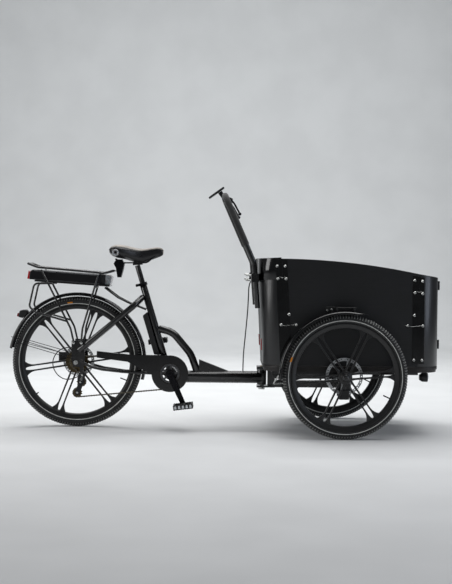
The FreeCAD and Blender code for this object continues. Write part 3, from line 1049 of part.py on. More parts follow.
# ---------------------------------------------------------------- handlebar
BAR = [(ahead("bar_low_x"), "bar_half", over_front("bar_low_z-299")),
       (ahead("bar_bend_x"), "bar_half", over_front("bar_bend_z-299")),
       (ahead("bar_top_x"), "bar_half", over_front("bar_top_z-299"))]
BAR += [(x, "-" + y, z) for x, y, z in reversed(BAR)]
node("handlebar", bent("handlebar", BAR, "bar_radius", 62, "bar_radius-bar_wall"))
slope_share = 0.27
grip_start = ("(%s*(1-%s)+%s*%s)" % (BAR[1][0], slope_share, BAR[2][0], slope_share), "bar_half",
              "(%s*(1-%s)+%s*%s)" % (BAR[1][2], slope_share, BAR[2][2], slope_share))
sleeve = bent("grip", [grip_start, BAR[2], (BAR[2][0], "bar_half-120", BAR[2][2])], "bar_radius+grip_wall", 62, "bar_radius")
pair("grips", sleeve)
CLAMP = over_front("clamp_z-299")
bar_share = "((bar_bend_z-clamp_z)/(bar_bend_z-bar_low_z))"
BAR_X = "(%s+(bar_low_x-bar_bend_x)*%s)" % (BAR[1][0], bar_share)
bar_bore = rod("bar_bore", BAR[0], BAR[1], "bar_radius+running_gap")
outset, outset_bend = "(box_corner+1.6)", "-(box_corner+1.6)*(1-cos(45))"
back_block = lean(top_plate("back_block", [
    ("-1.6", "-" + SIDE_FLAT, outset_bend), ("box_corner", "-(%s+%s)" % (SIDE_FLAT, outset)),
    ("2*box_corner", "-(%s+%s)" % (SIDE_FLAT, outset)), ("2*box_corner", "%s+%s" % (SIDE_FLAT, outset)),
    ("box_corner", "%s+%s" % (SIDE_FLAT, outset), outset_bend), ("-1.6", SIDE_FLAT)], "0", "700"))
clamp_side = cut("clamp_bored", block("clamp_block", (BAR_X + "-20", "bar_half-24", CLAMP + "-21"),
                                      (BAR_X + "+16", "bar_half+24", CLAMP + "+21")), bar_bore)
clamp_foot = block("clamp_foot", (BAR_X + "+10", "bar_half-66", CLAMP + "-19"), (BAR_X + "+26", "bar_half-24", CLAMP + "+19"))
pair("handlebar_clamps", cut("clamp_seated", fuse("clamp_side", clamp_side, clamp_foot),
                             back_block))
clamp_bolts = [rod("clamp_bolt", (BAR_X + "-46", y, CLAMP + z), (BAR_X + "-19", y, CLAMP + z), "4.5")
               for y in ("bar_half-18.5", "bar_half+18.5") for z in ("-12", "+12")]
pair("bolts", group("bolt_set", *bolts, *clamp_bolts))

TOP_X, TOP_Z = BAR[2][0], BAR[2][2]
bar_fittings = []
for side, sign in SIDES:
    pivot_x, pivot_z = TOP_X + "+26", TOP_Z + "-16"
    hood_a = rod("lever_hood_ring", (TOP_X, "%d*(bar_half-142)" % sign, TOP_Z),
                 (TOP_X, "%d*(bar_half-124)" % sign, TOP_Z), "bar_radius+4", "bar_radius")
    hood_b = bent("lever_hood_arm", [(TOP_X + "+19", "%d*(bar_half-134)" % sign, TOP_Z + "-6"),
                                     (TOP_X + "+34", "%d*(bar_half-112)" % sign, TOP_Z + "-14"),
                                     (pivot_x, "%d*(bar_half-40)" % sign, pivot_z)], "5.7", 14)
    bar_fittings.append(fuse("lever_bracket_" + side, hood_a, hood_b))
    blade = bent("brake_lever_blade", [(pivot_x, "%d*(bar_half-33.5)" % sign, pivot_z),
                                       (pivot_x + "+20", "%d*(bar_half-30)" % sign, pivot_z + "-24"),
                                       (pivot_x + "+46", "%d*(bar_half-30)" % sign, pivot_z + "-72")], "4.5", 30)
    tip_at = point((pivot_x + "+47", "%d*(bar_half-30)" % sign, pivot_z + "-74"))
    ball = solid("brake_lever_ball", Part.makeSphere(8, tip_at))
    barrel_low, barrel_high = sorted(("%d*(bar_half-38)" % sign, "%d*(bar_half-28)" % sign), key=value)
    barrel = rod("brake_lever_barrel", (pivot_x, barrel_low, pivot_z), (pivot_x, barrel_high, pivot_z), "6.5")
    node("brake_lever_" + side, fuse("brake_lever_" + side, blade, ball, barrel))

panel = body("display")
pad(panel, outline(sketch(panel, "XZ_Plane"), [("-48", "0"), ("48", "0"), ("48", "9"), ("-48", "9")]), "62", both_ways=True)
glass = body("display_window")
pad(glass, outline(sketch(glass, "XZ_Plane"), [("-40", "9"), ("34", "9"), ("34", "10.5"), ("-40", "10.5")]), "50", both_ways=True)
for piece in (panel, glass):
    place(piece, (TOP_X + "-42", "0", TOP_Z + "+22"), (0, 1, 0), "-36")
node("display", fuse("display_whole", panel, glass))
ring = rod("display_ring", (TOP_X, "-9", TOP_Z), (TOP_X, "9", TOP_Z), "bar_radius+4", "bar_radius")
neck = side_plate("display_neck", [(TOP_X + "-16", TOP_Z + "-4"), (TOP_X + "-36", TOP_Z + "+24"),
                                   (TOP_X + "-18", TOP_Z + "+36"), (TOP_X + "-2", TOP_Z + "+13.5")], "8", "16")
node("bar_fittings", group("bar_fittings", fuse("display_bracket", ring, neck), *bar_fittings))

# The cable leaves the rear panel, hangs free and enters the main tube from above.
CABLE_FACE = "box_rear-426*tan(box_lean)"
node("steering_cable", bent("steering_cable", [
    (ahead(CABLE_FACE + "-0.3"), "-30", FLOOR_Z + "+426"), (ahead(CABLE_FACE + "-46"), "-30", FLOOR_Z + "+424"),
    (ahead("870"), "-30", over_front("330")), (ahead("856"), "-22", over_front("170")),
    (ahead("846"), "-4", over_front("60")), (ahead("846"), "0", PIVOT_Z + "+main_tube_radius+0.3")], "3", 90))

# ---------------------------------------------------------------- check and write
doc.recompute()
failed = [piece.Name for piece in doc.Objects if {"Invalid", "Error"} & set(piece.State)]
if failed:
    raise RuntimeError("failed features: %s" % failed)
os.makedirs("parts", exist_ok=True)
low, high = Vector(1e9, 1e9, 1e9), Vector(-1e9, -1e9, -1e9)
for name, piece in PIECES.items():
    shape = piece.Shape
    if shape.isNull() or not shape.isValid() or not shape.Solids:
        raise RuntimeError("bad shape: %s" % name)
    shape.exportStep("parts/%s.step" % name)
    box = shape.BoundBox
    low = Vector(min(low.x, box.XMin), min(low.y, box.YMin), min(low.z, box.ZMin))
    high = Vector(max(high.x, box.XMax), max(high.y, box.YMax), max(high.z, box.ZMax))
print(len(PIECES), "nodes, box", low, high)
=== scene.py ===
# %% [markdown]
# # A cargo bicycle, finished in Blender
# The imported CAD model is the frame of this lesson. It holds every tube, wheel and panel at its real
# place, in metres: +X is forward, +Y is the rider's left and +Z is up. Each step below takes one piece
# or one finish of the real bicycle, says how it is made, and makes it around that frame.

# %% Load the frame
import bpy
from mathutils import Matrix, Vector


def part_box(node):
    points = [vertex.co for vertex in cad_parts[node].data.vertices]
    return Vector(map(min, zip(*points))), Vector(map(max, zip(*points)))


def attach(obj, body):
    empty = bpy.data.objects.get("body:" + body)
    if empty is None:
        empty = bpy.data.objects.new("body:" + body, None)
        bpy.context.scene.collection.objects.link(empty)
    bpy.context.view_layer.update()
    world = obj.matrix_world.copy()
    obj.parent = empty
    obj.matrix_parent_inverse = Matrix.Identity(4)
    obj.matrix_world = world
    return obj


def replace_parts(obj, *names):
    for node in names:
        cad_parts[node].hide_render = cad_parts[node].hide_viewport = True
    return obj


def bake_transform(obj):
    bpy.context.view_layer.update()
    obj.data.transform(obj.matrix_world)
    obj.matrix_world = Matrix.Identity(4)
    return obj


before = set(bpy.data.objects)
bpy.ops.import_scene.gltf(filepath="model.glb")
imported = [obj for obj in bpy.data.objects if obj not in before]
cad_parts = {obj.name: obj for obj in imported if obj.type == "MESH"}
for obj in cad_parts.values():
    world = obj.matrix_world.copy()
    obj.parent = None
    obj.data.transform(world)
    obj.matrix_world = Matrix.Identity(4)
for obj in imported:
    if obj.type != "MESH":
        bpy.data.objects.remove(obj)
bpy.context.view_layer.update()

import bmesh
import bpy
import math
from mathutils import Matrix, Vector

MM = 0.001

# %% [markdown]
# ## Camera
# A long lens far from the side keeps the wheels round, and lets both ends of the bicycle show at the
# same size. A 72 mm lens six metres off does that. The camera stands at chest height and looks down a
# little.

# %% Camera
CAMERA_PLACE = (0.0233, -6.0, 0.8456)
LENS_MM, LOOK_DOWN, ROLL = 72.4, 1.46, 0.5

lens = bpy.data.cameras.new("camera")
lens.lens = LENS_MM
camera = bpy.data.objects.new("camera", lens)
bpy.context.scene.collection.objects.link(camera)
camera.matrix_world = (Matrix.Translation(CAMERA_PLACE)
                       @ Matrix.Rotation(math.radians(90 - LOOK_DOWN), 4, "X")
                       @ Matrix.Rotation(math.radians(ROLL), 4, "Z"))
bpy.context.scene.camera = camera
print("camera at", CAMERA_PLACE, "with a", LENS_MM, "mm lens")

# %% [markdown]
# ## Colours and nodes
# Paint charts and screens give colours as sRGB hex values, but light adds up linearly, so one function
# turns a hex value to linear numbers. A second function adds a shader node with its settings and
# links, and every finish below is built with it.

# %% Colour and node helpers
def linear(hex_colour):
    """An sRGB hex colour as the linear red, green, blue and alpha that a shader wants."""
    channels = [int(hex_colour[i:i + 2], 16) / 255 for i in (1, 3, 5)]
    return [c / 12.92 if c <= 0.04045 else ((c + 0.055) / 1.055) ** 2.4 for c in channels] + [1.0]


def add(material, kind, inputs=None, **settings):
    """Add a node. Inputs are plain values, or another node's output to link from."""
    node = material.node_tree.nodes.new(kind)
    for name, setting in settings.items():
        setattr(node, name, setting)
    for name, given in (inputs or {}).items():
        if isinstance(given, bpy.types.NodeSocket):
            material.node_tree.links.new(given, node.inputs[name])
        else:
            node.inputs[name].default_value = given
    return node


def finish_named(name, inputs):
    """A material with one Principled shader, whose inputs are values or other nodes' outputs."""
    material = bpy.data.materials[name]
    shader = add(material, "ShaderNodeBsdfPrincipled", inputs)
    add(material, "ShaderNodeOutputMaterial", {"Surface": shader.outputs[0]})
    return material


def start_material(name):
    """An empty material and the place on the bicycle, in metres, that its patterns are laid out on."""
    material = bpy.data.materials.new(name)
    material.use_nodes = True
    material.node_tree.nodes.clear()
    return material, add(material, "ShaderNodeTexCoord").outputs["Object"]


def per_metre(size_mm):
    """How many features of this size fit in a metre, which is what a pattern's scale counts."""
    return 1 / (size_mm * MM)


def grain(material, place, size_mm, detail=2.0, stretch=(1, 1, 1)):
    """Cloudy noise with features of a real size, stretched along an axis where the real one is."""
    laid = add(material, "ShaderNodeMapping", {"Vector": place, "Scale": stretch})
    return add(material, "ShaderNodeTexNoise",
               {"Vector": laid.outputs[0], "Scale": per_metre(size_mm), "Detail": detail}).outputs["Fac"]


def cells(material, place, size_mm, **kind):
    """Rounded cells of a real size, such as pebbles, beads or prisms."""
    return add(material, "ShaderNodeTexVoronoi", {"Vector": place, "Scale": per_metre(size_mm)},
               **kind).outputs["Distance"]


def ripples(material, place, size_mm, way):
    """Even ridges of a real size along an axis."""
    return add(material, "ShaderNodeTexWave", {"Vector": place, "Scale": per_metre(size_mm) / 20 * math.pi},
               bands_direction=way).outputs["Fac"]


# Noise stays mostly in its middle, so patterns are read between these two values.
NOISE_LOW, NOISE_HIGH = 0.35, 0.65


def between(material, fac, low, high):
    """Map a pattern to a range of numbers, such as two roughnesses."""
    return add(material, "ShaderNodeMapRange", {"Value": fac, "From Min": NOISE_LOW, "From Max": NOISE_HIGH,
                                                "To Min": low, "To Max": high}).outputs["Result"]


def blend_colours(material, fac, first, second):
    """Two sRGB colours mixed by a pattern."""
    ramp = add(material, "ShaderNodeValToRGB", {"Fac": fac})
    for stop, colour, spot in zip(ramp.color_ramp.elements, (first, second), (NOISE_LOW, NOISE_HIGH)):
        stop.color, stop.position = linear(colour), spot
    return ramp.outputs["Color"]


def relief(material, height, depth_mm):
    """Bump from a pattern, as deep as the real texture."""
    return add(material, "ShaderNodeBump", {"Height": height, "Distance": depth_mm * MM,
                                            "Strength": 1.0}).outputs["Normal"]


def surface(name, dark, light, smooth, rough, tint, skin, depth_mm, others):
    """A finish whose colour and gloss follow one grain, and whose relief follows another or the same."""
    made, place = start_material(name)
    cloud = grain(made, place, *tint)
    bumps = grain(made, place, *skin) if skin else cloud
    return finish_named(name, {"Base Color": blend_colours(made, cloud, dark, light),
                               "Roughness": between(made, cloud, smooth, rough),
                               "Normal": relief(made, bumps, depth_mm), **others})


print("white is", linear("#ffffff"))

# %% [markdown]
# ## Cables
# Two housings run in the open here: the brake cable that leaves the rear panel and goes down into the
# main tube, and the gear cable's loop round the back of the derailleur. A housing is a steel coil in a
# PVC sleeve, stiff enough to hold one long smooth curve, so a NURBS line with a few points draws it.
# The first cable crosses the steering joint, so it becomes a mesh of its own, attached to no body.

# %% PVC sleeve
def link(thing):
    bpy.context.scene.collection.objects.link(thing)
    return thing


pvc, at = start_material("black_pvc_sleeve")
coil_wave = ripples(pvc, at, 1.5, "Z")
scuff = grain(pvc, at, 12, 3)
finish_named("black_pvc_sleeve", {
    "Base Color": blend_colours(pvc, scuff, "#0c0c0d", "#161617"), "IOR": 1.53,
    "Roughness": between(pvc, scuff, 0.3, 0.42), "Normal": relief(pvc, coil_wave, 0.04)})
print("PVC sleeve with the coil showing through")

# %% Lines that cables follow
def smooth_line(name, points, order=3, steps=24):
    """A curve object of one NURBS line that the points pull into shape."""
    curve = bpy.data.curves.new(name, "CURVE")
    curve.dimensions = "3D"
    spline = curve.splines.new("NURBS")
    spline.points.add(len(points) - 1)
    for knot, p in zip(spline.points, points):
        knot.co = (*p, 1)
    spline.order_u, spline.use_endpoint_u, spline.resolution_u = order, True, steps
    return link(bpy.data.objects.new(name, curve))


def as_mesh(line):
    return bpy.data.meshes.new_from_object(line.evaluated_get(bpy.context.evaluated_depsgraph_get()))


def make_round(line, diameter, finish=pvc, steps=4):
    """Give a line a round section of this diameter, in metres."""
    line.data.bevel_depth, line.data.bevel_resolution, line.data.use_fill_caps = diameter / 2, steps, True
    line.data.materials.append(finish)


GEAR_CABLE = ((-0.7227, -0.0695, 0.260), (-0.7727, -0.0735, 0.236), (-0.8327, -0.0755, 0.270),
              (-0.8547, -0.0755, 0.332), (-0.8287, -0.0745, 0.386), (-0.7887, -0.071, 0.408),
              (-0.7542, -0.071, 0.408))
gear_line = smooth_line("gear_cable_loop", GEAR_CABLE)
make_round(gear_line, 0.005)
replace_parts(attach(gear_line, "rear_frame"), "gear_cable")
print("gear cable of", len(GEAR_CABLE), "points")

# %% The cable across the steering
STEERING_CABLE = ((0.1846, -0.030, 0.770), (0.1389, -0.030, 0.768), (0.1373, -0.030, 0.629),
                  (0.1233, -0.022, 0.469), (0.1133, -0.004, 0.359), (0.1133, 0.0, 0.2898))
line = smooth_line("steering_line", STEERING_CABLE)
thread = [v.co.copy() for v in as_mesh(line).vertices]
make_round(line, 0.006)
tube_mesh = as_mesh(line)
bpy.data.objects.remove(line)
steering_tube = link(bpy.data.objects.new("steering_cable_tube", tube_mesh))
tube_mesh.shade_smooth()
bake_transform(steering_tube)
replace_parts(steering_tube, "steering_cable")
run = sum((b - a).length for a, b in zip(thread, thread[1:]))
print("steering cable", round(run, 3), "m long")

# %% [markdown]
# ## Gloss black powder coat
# The frame's steel tubes are sprayed with dry polyester powder and baked. The melted coat is glossy,
# but it keeps a faint orange peel with waves a few millimetres across, so highlights along a tube
# have slightly trembling edges. A clear coat layer over a near-black base gives the hard edge of the
# highlight, and the roughness wanders a little where hands and dust have been.

# %% Gloss black powder coat
ORANGE_PEEL_MM = 3.5
powder_coat = surface("gloss_black_powder_coat", "#050506", "#0a0a0b", 0.24, 0.34, (60, 4), (ORANGE_PEEL_MM,),
                      0.03, {"IOR": 1.5, "Coat Weight": 0.6, "Coat Roughness": 0.09})
print("powder coat: orange peel", ORANGE_PEEL_MM, "mm")

# %% [markdown]
# ## Satin black cast alloy
# The wheels are aluminium castings with a satin powder coat. Casting leaves the skin a little uneven
# at about a centimetre, and the satin coat spreads the highlight wide. The colour wanders a little in
# the same centimetre cloud.

# %% Satin black cast alloy
cast_alloy = surface("satin_black_cast_alloy", "#070708", "#0f0f10", 0.36, 0.48, (9, 3), (0.9,), 0.05,
                     {"IOR": 1.5, "Coat Weight": 0.15, "Coat Roughness": 0.3})
print("cast alloy ready")

# %% [markdown]
# ## Tyre rubber and its reflective stripe
# Vulcanised rubber takes the fine matt texture of its mould, scatters light at grazing angles and
# picks up pale road dust on the tread. The stripe on the sidewall is a woven band with tiny glass
# beads, which throws light back and so looks pale grey. The beads are under 0.1 mm, so they are drawn
# at half a millimetre to show at all.

# %% Tyre rubber and reflective stripe
tyre_rubber = surface("vulcanised_tyre_rubber", "#141415", "#212121", 0.62, 0.8, (45, 5), (1.2, 3), 0.12,
                      {"IOR": 1.52, "Sheen Weight": 0.12, "Sheen Roughness": 0.5})
block_rubber = surface("dusty_tread_rubber", "#5a5a59", "#8a8a87", 0.6, 0.85, (2.5, 4), None, 0.15,
                       {"IOR": 1.52, "Sheen Weight": 0.2, "Sheen Roughness": 0.5})
reflective_band, at = start_material("glass_bead_reflective_band")
beads = cells(reflective_band, at, 0.5)
wear = grain(reflective_band, at, 30, 4)
finish_named("glass_bead_reflective_band", {
    "Base Color": blend_colours(reflective_band, wear, "#b9bab6", "#dcddd8"), "IOR": 1.5, "Roughness": 0.5,
    "Normal": relief(reflective_band, beads, 0.05)})
print("tyre finishes ready")

# %% [markdown]
# ## Steels
# Several steels show on the bicycle. Bolts and axle nuts are zinc plated, which is bright with a cloudy
# bloom, or dull and grey where it is old. Brake discs are stainless steel that is ground across its
# face, so it has fine streaks. The chain carries a film of oil, and the sprockets under it are brownish.
# Screw heads and the lever are blackened. All of them are metal, so their colour tints the reflection.

# %% Steels
def steel(name, dark, light, smooth, rough, bloom_mm, stretch=(1, 1, 1)):
    """A metal with a cloudy tint and the streaks or pits of its surface treatment."""
    return surface(name, dark, light, smooth, rough, (bloom_mm, 4, stretch), (bloom_mm / 6, 2, stretch), 0.02,
                   {"Metallic": 1.0})


zinc_plate = steel("zinc_plated_steel", "#b4b5b2", "#d0d1cf", 0.22, 0.34, 7)
stainless = steel("ground_stainless_steel", "#a9abad", "#c6c8ca", 0.24, 0.38, 2.4, (1, 1, 8))
dark_zinc = steel("dull_grey_zinc", "#454647", "#707173", 0.28, 0.44, 4)
oiled_steel = steel("oiled_chain_steel", "#4a4740", "#7d776a", 0.3, 0.46, 5)
black_steel = steel("blackened_steel", "#1c1c1e", "#2a2a2d", 0.34, 0.48, 6)
sprocket_steel = steel("phosphated_sprocket_steel", "#35302a", "#6a5d42", 0.32, 0.48, 5)
steels = (zinc_plate, stainless, dark_zinc, oiled_steel, black_steel, sprocket_steel)
print("steels:", [metal.name for metal in steels])

# %% [markdown]
# ## Plastics
# Moulded nylon takes the spark-eroded texture of its mould, grains of about half a millimetre, and
# looks satin. The mudguards, the chain guard and the box's corner straps are polished ABS: almost a
# mirror, with long shallow waves where the sheet cooled. Reflectors are acrylic with rows of prisms
# behind, and the battery's front cap is milky grey polycarbonate that lets some light in.

# %% Plastics
nylon = surface("moulded_black_nylon", "#08080a", "#101012", 0.42, 0.54, (25, 3), (0.6, 3), 0.06,
                {"IOR": 1.53})
gloss_abs = surface("polished_black_abs", "#020203", "#050506", 0.13, 0.2, (55, 1), None, 0.25,
                    {"IOR": 1.45, "Coat Weight": 0.35, "Coat Roughness": 0.06})


def prism_reflector(name, dark, light):
    """Acrylic with corner-cube prisms 3 mm across moulded into its back."""
    made, place = start_material(name)
    cubes = cells(made, place, 3, distance="MANHATTAN")
    return finish_named(name, {"Base Color": blend_colours(made, cubes, dark, light), "IOR": 1.49,
                               "Roughness": 0.12, "Coat Weight": 1.0, "Coat Roughness": 0.04,
                               "Normal": relief(made, cubes, 0.4)})


red_acrylic = prism_reflector("red_reflector_acrylic", "#6e0a0c", "#c81a1c")
amber_acrylic = prism_reflector("amber_reflector_acrylic", "#9a4a08", "#e08a1c")
clear_acrylic = prism_reflector("clear_lamp_acrylic", "#8f9498", "#dfe3e6")

milky, at = start_material("milky_grey_polycarbonate")
haze = grain(milky, at, 18, 3)
finish_named("milky_grey_polycarbonate", {
    "Base Color": blend_colours(milky, haze, "#7b7e81", "#9a9da0"), "IOR": 1.58,
    "Roughness": between(milky, haze, 0.22, 0.32), "Coat Weight": 0.5, "Coat Roughness": 0.1,
    "Subsurface Weight": 0.15, "Subsurface Scale": 0.004})
print("plastics ready")

# %% [markdown]
# ## Foam, vinyl and boards
# The long handlebar sleeves are closed-cell foam with cells of about a millimetre. The saddle is
# covered in embossed vinyl with a pebble grain. The box is birch plywood faced with a dark phenolic
# film, pressed so that a whisper of the wood's long grain shows through. Its floor has the raised
# wire mesh of anti-slip board, 5 mm from wire to wire.

# %% Foam and vinyl
foam, at = start_material("closed_cell_foam")
bubbles = cells(foam, at, 1.6)
rub = grain(foam, at, 35, 4)
finish_named("closed_cell_foam", {
    "Base Color": blend_colours(foam, rub, "#1d1d1d", "#2d2c2b"), "IOR": 1.45, "Roughness": 0.9,
    "Sheen Weight": 0.25, "Sheen Roughness": 0.6, "Normal": relief(foam, bubbles, 0.5)})

# The top vinyl's light taupe grey is partly a painted highlight of the overhead light on the saddle's top.
vinyl, at = start_material("pebbled_top_vinyl_with_painted_highlight")
pebbles = cells(vinyl, at, 1.8)
polish = grain(vinyl, at, 40, 4)
finish_named("pebbled_top_vinyl_with_painted_highlight", {
    "Base Color": blend_colours(vinyl, polish, "#857e77", "#a09991"), "IOR": 1.5,
    "Roughness": between(vinyl, polish, 0.4, 0.56), "Sheen Weight": 0.1,
    "Normal": relief(vinyl, pebbles, 0.25)})
print("foam cells and vinyl pebbles laid out")

# %% Boards
faced_board, at = start_material("film_faced_birch_plywood")
wood = grain(faced_board, at, 6, 4, (0.05, 1, 1))
cloud = grain(faced_board, at, 120, 3)
finish_named("film_faced_birch_plywood", {
    "Base Color": blend_colours(faced_board, cloud, "#050608", "#0a0b0f"), "IOR": 1.5,
    "Roughness": between(faced_board, wood, 0.46, 0.56), "Normal": relief(faced_board, wood, 0.06)})

laminate = surface("satin_bent_laminate", "#07080a", "#0c0d11", 0.32, 0.42, (4, 3, (1, 1, 0.05)), None, 0.04,
                   {"IOR": 1.5, "Coat Weight": 0.25, "Coat Roughness": 0.2})

MESH_MM = 5
floor_film, at = start_material("anti_slip_floor_film")
wires = [ripples(floor_film, at, MESH_MM, way) for way in "XY"]
mesh_height = add(floor_film, "ShaderNodeMath", {0: wires[0], 1: wires[1]}, operation="MAXIMUM").outputs[0]
finish_named("anti_slip_floor_film", {
    "Base Color": blend_colours(floor_film, mesh_height, "#0e0b0a", "#191412"), "IOR": 1.5,
    "Roughness": 0.5, "Normal": relief(floor_film, mesh_height, 0.4)})
print("boards ready, floor mesh", MESH_MM, "mm")

# %% [markdown]
# ## Floor and soft light
# The studio has one pale painted floor that curves up into the wall, so no line shows behind the
# bicycle. Black things are lit by what they mirror, so the boxes stand above and to both sides: one
# overhead, whose reflection runs along the top of every tube, one at each side for the rounded
# corners of the box, and one that only lights the wall.

# %% Studio floor
paint, at = start_material("pale_studio_paint")
roller = grain(paint, at, 400, 2)
finish_named("pale_studio_paint", {"Base Color": blend_colours(paint, roller, "#cfd0d1", "#d4d5d6"),
                                   "Roughness": 0.75})
FLOOR_HALF, FLOOR_START, WALL_AT, SWEEP, WALL_HIGH = 14, -12.0, 5.0, 2.5, 9
turns = [math.radians(degrees) for degrees in range(0, 91, 6)]
sweep_line = [(FLOOR_START, 0.0),
              *((WALL_AT + SWEEP * math.sin(a), SWEEP - SWEEP * math.cos(a)) for a in turns),
              (WALL_AT + SWEEP, WALL_HIGH)]
floor_mesh = bpy.data.meshes.new("studio_floor")
floor_mesh.from_pydata([(x, y, z) for y, z in sweep_line for x in (-FLOOR_HALF, FLOOR_HALF)], [],
                       [(2 * i, 2 * i + 1, 2 * i + 3, 2 * i + 2) for i in range(len(sweep_line) - 1)])
floor_mesh.materials.append(paint)
floor_mesh.shade_smooth()
floor = link(bpy.data.objects.new("studio_floor", floor_mesh))
print("floor sweep of", len(sweep_line), "lines")

# %% Soft boxes
def soft_box(name, place, target, wide, high, watts, colour="#ffffff"):
    """A square light at a place, turned to a target, both in metres."""
    box = bpy.data.lights.new(name, "AREA")
    box.shape, box.size, box.size_y = "RECTANGLE", wide, high
    box.energy, box.color = watts, linear(colour)[:3]
    lamp = link(bpy.data.objects.new(name, box))
    lamp.location = place
    lamp.rotation_euler = (Vector(target) - Vector(place)).to_track_quat("-Z", "Y").to_euler()


soft_box("overhead_box", (0.2, 0.3, 3.8), (0, 0, 0.4), 5.4, 2.4, 165)
soft_box("backdrop_box", (0, 2.2, 4.2), (0, 6.0, 0.2), 7.0, 1.2, 235, "#fbfdfd")
soft_box("left_box", (-4.6, -1.6, 1.9), (0.2, 0, 0.6), 1.8, 2.6, 70)
soft_box("right_box", (4.8, -2.4, 1.7), (0.8, 0, 0.6), 1.4, 2.8, 45, "#e4eeff")
world = bpy.data.worlds.new("studio_air")
world.use_nodes = True
air = world.node_tree.nodes["Background"]
air.inputs["Color"].default_value, air.inputs["Strength"].default_value = linear("#c9cdd0"), 0.2
bpy.context.scene.world = world
bpy.context.scene.view_settings.view_transform = "Standard"
print("four soft boxes and a pale room")

# %% [markdown]
# ## Finishes on the CAD nodes
# Most tubes and plates already have their real shape in CAD, so they only need the right finish and
# soft edges. A real bent, cast or cut edge is never knife sharp: a bevel of half a millimetre to two
# millimetres catches a thin line of light. The modifiers join the CAD triangles into whole faces
# first, and then the bevel rounds the edges that are left.

# %% Finishes on the CAD nodes
def dress(node, finish, edge_mm=0.8):
    """Give a CAD node its finish, and round its edges by this much."""
    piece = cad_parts[node]
    piece.data.materials.clear()
    piece.data.materials.append(finish)
    soften(piece, edge_mm)


def round_edges(piece, edge_mm, segments=2):
    edge = piece.modifiers.new("soft_edge", "BEVEL")
    edge.width, edge.segments, edge.limit_method = edge_mm * MM, segments, "ANGLE"
    edge.angle_limit, edge.harden_normals = math.radians(35), True


def soften(piece, edge_mm, segments=2):
    """Join a CAD piece's triangles into whole faces, and round the edges between those."""
    if edge_mm:
        piece.modifiers.new("join", "WELD").merge_threshold = 0.01 * MM
        flat = piece.modifiers.new("whole_faces", "DECIMATE")
        flat.decimate_type, flat.angle_limit = "DISSOLVE", math.radians(0.5)
        round_edges(piece, edge_mm, segments)
    return piece


FINISH_OF = {
    powder_coat: ["main_tube", "seat_tube", "arch_tube", "seatstays", "chainstays", "rear_rack", "front_frame",
                  "handlebar", "seat_post", "handlebar_clamps"],
    nylon: ["controller_box", "derailleur", "rear_calliper", "front_callipers", "bar_fittings", "bearing_cups"],
    gloss_abs: ["chain_guard", "corner_straps"],
    zinc_plate: ["rear_axle", "kingpin", "bolts", "latch_bolt"],
    sprocket_steel: ["cassette", "chainring", "guide_pulley", "tension_pulley"],
    black_steel: ["saddle_rails", "seat_collar", "seat_lever", "crank_arm_left", "brake_lever_left",
                  "brake_lever_right"],
    faced_board: ["rear_panel", "side_panels", "front_door", "door_frame"],
    laminate: ["rear_corners", "front_corners"],
    floor_film: ["box_floor"],
    foam: ["grips"],
    red_acrylic: ["rear_reflectors"],
}
USUAL_EDGE_MM = 0.7
EDGE_MM = {"bolts": 0, "chainring": 0, "cassette": 0, "guide_pulley": 0, "tension_pulley": 0,
           "side_panels": 1.6, "rear_panel": 1.6, "rear_corners": 1.2, "front_corners": 1.2, "front_door": 1.6,
           "box_floor": 2, "controller_box": 4, "saddle_rails": 1.5, "front_callipers": 2, "rear_calliper": 2,
           "grips": 1.2}
for finish, nodes in FINISH_OF.items():
    for node in nodes:
        dress(node, finish, EDGE_MM.get(node, USUAL_EDGE_MM))
print(sum(len(nodes) for nodes in FINISH_OF.values()), "CAD nodes dressed")

# %% [markdown]
# ## Helpers that make pieces
# A few helpers make nearly every new piece. One spins a section round an axle, one cuts a plate to an
# outline, one joins several such shells, one draws a round wire through points, and one copies single
# solids out of a CAD node, so that each can have its own finish.

# %% Making pieces from points and faces
def make_piece(name, points, faces, finish, body, slot, edge_mm=0, smooth=True, segments=2):
    """A mesh piece in the row frame that rides on a body. Points are in metres."""
    mesh = bpy.data.meshes.new(name)
    mesh.from_pydata([tuple(p) for p in points], [], faces)
    shell = bmesh.new()
    shell.from_mesh(mesh)
    bmesh.ops.recalc_face_normals(shell, faces=shell.faces)
    shell.to_mesh(mesh)
    shell.free()
    for each in (finish if isinstance(finish, list) else [finish]):
        mesh.materials.append(each)
    if smooth:
        mesh.shade_smooth()
        mesh.set_sharp_from_angle(angle=math.radians(40))
    piece = link(bpy.data.objects.new(name, mesh))
    if edge_mm:
        round_edges(piece, edge_mm, segments)
    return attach(piece, body)


AXLE_WAYS = {"Y": "YXZ", "Z": "ZXY"}


def spun(profile, centre, start=0, end=360, steps=96, axis="Y"):
    """Points and faces of a closed section, (along the axle, radius) in mm, spun between two angles."""
    along, first, second = [Vector([float(way == one) for way in "XYZ"]) for one in AXLE_WAYS[axis]]
    whole = abs(end - start) >= 360
    turns = [math.radians(start + (end - start) * i / steps) for i in range(steps if whole else steps + 1)]
    points = [centre + MM * (a * along + r * (math.cos(t) * first + math.sin(t) * second))
              for t in turns for a, r in profile]
    n, faces = len(profile), []
    for i in range(len(turns) if whole else len(turns) - 1):
        j = (i + 1) % len(turns)
        faces += [(i * n + k, i * n + (k + 1) % n, j * n + (k + 1) % n, j * n + k) for k in range(n)]
    if not whole:
        faces += [tuple(range(n)), tuple(range((len(turns) - 1) * n, len(turns) * n))]
    return points, faces


def plate(outline, origin, low_y, high_y, turn=0):
    """Points and faces of a plate with a side-view outline (x, z), in mm from an origin."""
    around = Matrix.Rotation(math.radians(turn), 3, "Y")
    points = [origin + MM * (around @ Vector((x, y, z))) for y in (low_y, high_y) for x, z in outline]
    n = len(outline)
    faces = [tuple(range(n)), tuple(range(2 * n - 1, n - 1, -1))]
    return points, faces + [(k, n + k, n + (k + 1) % n, (k + 1) % n) for k in range(n)]


